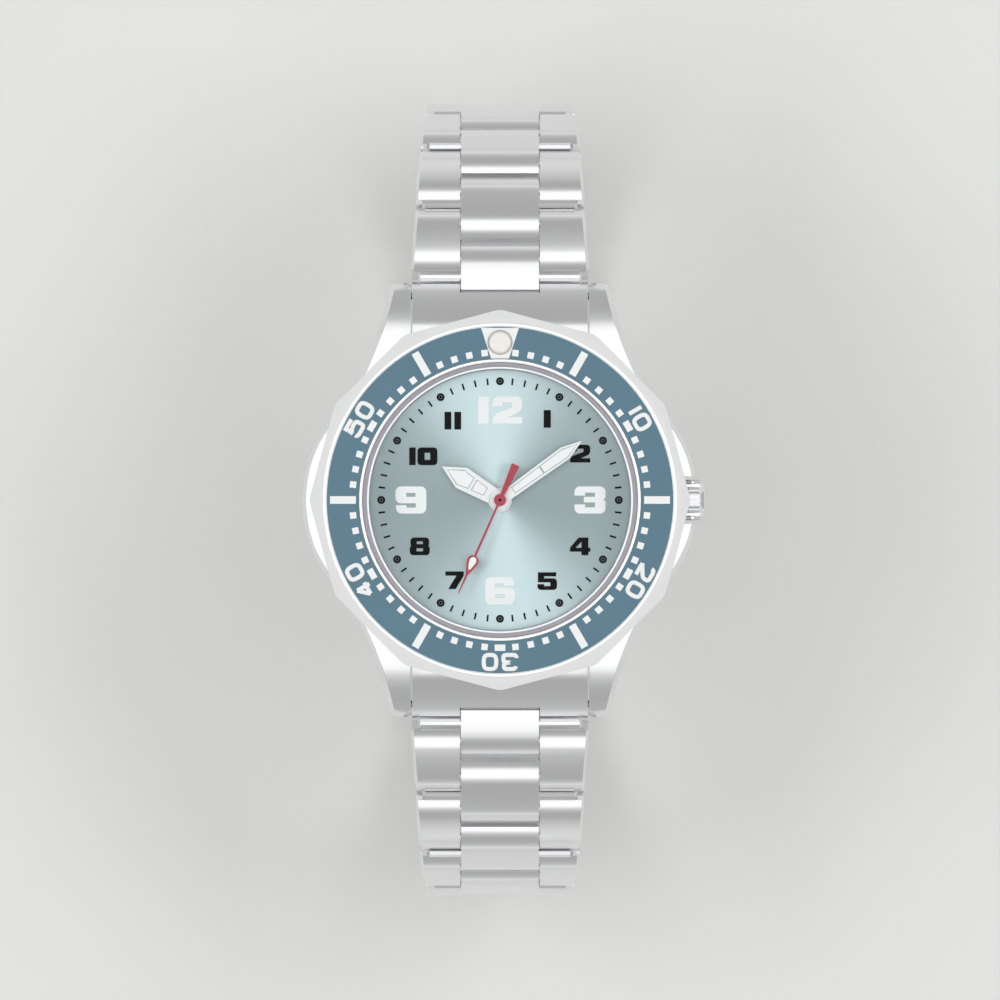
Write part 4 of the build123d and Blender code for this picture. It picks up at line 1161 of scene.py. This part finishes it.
class WATCH_OT_hands(bpy.types.Operator):
    """Hour and minute hands with luminous inlays, and the red second hand"""

    bl_idname = "watch.hands"
    bl_label = "Hands"

    def execute(self, context):
        settings = context.scene.watch_hands
        white = paint("white_lacquered_brass", "#F8F9FA", 0.28, mottled=0.02)
        lume = paint("white_hand_lume", "#FDFEFE", 0.6)
        shadow = paint("hand_shadow_line", "#9EA3A6", 0.5)
        red = paint("red_lacquer", "#B53A4D", 0.3)
        black = bpy.data.materials["black_matt_ink"]
        for hand in ("hour_hand", "minute_hand"):
            dressed_solid(hand, hand, white, edge=0.04)

        second = "second_hand"
        foot, top = (corner.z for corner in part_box(second))
        neck = top - settings.plate_thickness
        plate = second_hand_plate(settings.plate_thickness, top)
        bmesh.ops.create_cone(
            plate,
            cap_ends=True,
            segments=24,
            radius1=settings.pipe_radius,
            radius2=settings.pipe_radius,
            depth=neck - foot,
            matrix=Matrix.Translation((0, 0, (neck + foot) / 2)),
        )
        machined(plate, second, second, red, edge=0.03)

        for number, (hand, outline) in enumerate(LUME_OUTLINES, 1):
            # a grey plate a little larger than each inlay: painted shadow of the groove round it
            groove = flat_shape(groove_round(outline, settings))
            lay_in_hand(f"{hand}_groove_{number}", hand, groove, settings.groove_height, shadow)
            plate = flat_shape(outline)
            lay_in_hand(f"{hand}_lume_{number}", hand, plate, settings.lume_height, lume)
        drop = flat_shape(mirrored(SECOND_LUME))
        lay_in_hand("second_hand_lume", second, drop, settings.second_height, lume)
        pivot = bmesh.new()
        bmesh.ops.create_circle(pivot, cap_ends=True, segments=24, radius=settings.pivot_radius)
        raise_print(pivot, settings.second_height)
        bmesh.ops.translate(pivot, verts=pivot.verts, vec=(0, 0, HAND_TOPS[second]))
        settle(keep_mesh(pivot, "second_hand_pivot"), second, black)
        return {"FINISHED"}


class WATCH_OT_crown(bpy.types.Operator):
    """Fluted crown and its stem"""

    bl_idname = "watch.crown"
    bl_label = "Crown"

    def execute(self, context):
        polished = bpy.data.materials["polished_stainless_316L"]
        dressed_solid("crown", "crown", polished, edge=0.04)
        finish_solid("crown_stem", bpy.data.materials["drawn_steel"])
        return {"FINISHED"}


class WATCH_OT_bracelet(bpy.types.Operator):
    """Every link of the bracelet"""

    bl_idname = "watch.bracelet"
    bl_label = "Bracelet"

    def execute(self, context):
        satin = bpy.data.materials["satin_stainless_316L"]
        for body, nodes in frame["record"]["behaviour"]["bodies"].items():
            for node in nodes:
                if node.startswith("centre_link"):
                    dressed_solid(node, body, satin, edge=0.2, segments=3)
                elif node.startswith("outer_links"):
                    dressed_solid(node, body, satin, edge=0.14)
        return {"FINISHED"}


class WATCH_OT_clasp(bpy.types.Operator):
    """Folding clasp: cover, leaves, push buttons and spring bar"""

    bl_idname = "watch.clasp"
    bl_label = "Clasp"

    def execute(self, context):
        satin = bpy.data.materials["satin_stainless_316L"]
        polished = bpy.data.materials["polished_stainless_316L"]
        for node in ("clasp_cover", "clasp_long_leaf", "clasp_short_leaf"):
            dressed_solid(node, node, satin, edge=0.1)
        for node in ("clasp_button_left", "clasp_button_right"):
            dressed_solid(node, node, polished, edge=0.06)
        finish_solid("clasp_spring_bar", bpy.data.materials["drawn_steel"])
        return {"FINISHED"}


# How bright the studio is at each height, from the horizon (0) to straight above (1). The dark band
# between gives polished steel something to mirror.
SKY_LEVELS = [
    (0.0, 0.94),
    (0.12, 0.84),
    (0.3, 0.56),
    (0.5, 0.47),
    (0.76, 0.44),
    (0.88, 0.54),
    (0.96, 0.82),
    (1.0, 0.84),
]


def studio_sky():
    """The studio's own glow; the camera itself sees plain pale paper instead."""
    world = bpy.data.worlds.new("soft_studio")
    world.use_nodes = True
    sky = world.node_tree
    sky.nodes.clear()
    place = add_node(sky, "ShaderNodeTexCoord")
    parts = add_node(sky, "ShaderNodeSeparateXYZ", {"Vector": place.outputs["Generated"]})
    ramp = add_node(sky, "ShaderNodeValToRGB", {0: parts.outputs["Z"]})
    while len(ramp.color_ramp.elements) < len(SKY_LEVELS):
        ramp.color_ramp.elements.new(0.5)
    for element, (height, level) in zip(ramp.color_ramp.elements, SKY_LEVELS):
        element.position = height
        element.color = (level, level, level, 1)
    glow = add_node(sky, "ShaderNodeBackground", {"Color": ramp.outputs[0], "Strength": 1.0})
    paper = add_node(sky, "ShaderNodeBackground", {"Color": linear("#EFEFEE"), "Strength": 1.0})
    rays = add_node(sky, "ShaderNodeLightPath")
    mixed = add_node(
        sky,
        "ShaderNodeMixShader",
        {0: rays.outputs["Is Camera Ray"], 1: glow.outputs[0], 2: paper.outputs[0]},
    )
    out = add_node(sky, "ShaderNodeOutputWorld")
    sky.links.new(mixed.outputs[0], out.inputs[0])
    return world


def soft_box(name, place, size, power):
    """A rectangular lamp that faces the watch, with its place and size in metres."""
    lamp = bpy.data.lights.new(name, "AREA")
    lamp.shape = "RECTANGLE"
    lamp.size, lamp.size_y = size
    lamp.energy = power
    box = bpy.data.objects.new(name, lamp)
    bpy.context.scene.collection.objects.link(box)
    box.location = place
    box.rotation_euler = (-Vector(place)).to_track_quat("-Z", "Y").to_euler()


class WATCH_OT_stage(bpy.types.Operator):
    """Floor, soft light and camera"""

    bl_idname = "watch.stage"
    bl_label = "Stage"

    def execute(self, context):
        settings = context.scene.watch_stage
        scene = context.scene
        bm = bmesh.new()
        bmesh.ops.create_grid(bm, x_segments=1, y_segments=1, size=settings.floor_size / 2)
        bmesh.ops.translate(bm, verts=bm.verts, vec=(0, 0, FLOOR))
        floor = keep_mesh(bm, "floor")
        floor.data.materials.append(floor_paper())

        scene.world = studio_sky()
        soft_box("top_box", (0, 0.05, 0.9), (0.7, 0.7), settings.top_lamp_power)
        soft_box("left_box", (-0.6, 0.0, 0.8), (0.7, 0.3), settings.side_lamp_power)
        soft_box("right_box", (0.58, 0.155, 0.8), (0.7, 0.3), settings.side_lamp_power)

        lens = bpy.data.cameras.new("camera")
        lens.sensor_width = 36
        lens.lens = lens.sensor_width * settings.camera_height / settings.picture_width
        lens.clip_start, lens.clip_end = 0.1, 20
        camera = bpy.data.objects.new("camera", lens)
        scene.collection.objects.link(camera)
        camera.location = (0, 0, CRYSTAL_TOP + settings.camera_height)
        scene.camera = camera
        scene.view_settings.view_transform = "Standard"
        return {"FINISHED"}


class WATCH_PT_panel(bpy.types.Panel):
    """Lists every step of the build"""

    bl_label = "Diver watch"
    bl_space_type = "VIEW_3D"
    bl_region_type = "UI"
    bl_category = "Watch"

    def draw(self, context):
        scene = context.scene
        for group in (scene.watch_dial, scene.watch_hands, scene.watch_bezel, scene.watch_stage):
            column = self.layout.column(align=True)
            for key in group.__annotations__:
                column.prop(group, key)
        for step in STEPS:
            self.layout.operator(step.bl_idname)


STEPS = (
    WATCH_OT_case,
    WATCH_OT_inside,
    WATCH_OT_bezel,
    WATCH_OT_bezel_markings,
    WATCH_OT_crystal,
    WATCH_OT_dial,
    WATCH_OT_minute_track,
    WATCH_OT_numerals,
    WATCH_OT_hands,
    WATCH_OT_crown,
    WATCH_OT_bracelet,
    WATCH_OT_clasp,
    WATCH_OT_stage,
)
CLASSES = (DialSettings, HandSettings, BezelSettings, StageSettings, *STEPS, WATCH_PT_panel)


def register():
    """Add the classes and the settings to Blender."""
    for cls in CLASSES:
        bpy.utils.register_class(cls)
    bpy.types.Scene.watch_dial = bpy.props.PointerProperty(type=DialSettings)
    bpy.types.Scene.watch_hands = bpy.props.PointerProperty(type=HandSettings)
    bpy.types.Scene.watch_bezel = bpy.props.PointerProperty(type=BezelSettings)
    bpy.types.Scene.watch_stage = bpy.props.PointerProperty(type=StageSettings)


def unregister():
    """Take the settings and the classes out again."""
    del bpy.types.Scene.watch_dial
    del bpy.types.Scene.watch_hands
    del bpy.types.Scene.watch_bezel
    del bpy.types.Scene.watch_stage
    for cls in reversed(CLASSES):
        bpy.utils.unregister_class(cls)


def main():
    """Build everything in order."""
    register()
    for step in STEPS:
        family, name = step.bl_idname.split(".")
        getattr(getattr(bpy.ops, family), name)()


if __name__ == "__main__":
    main()
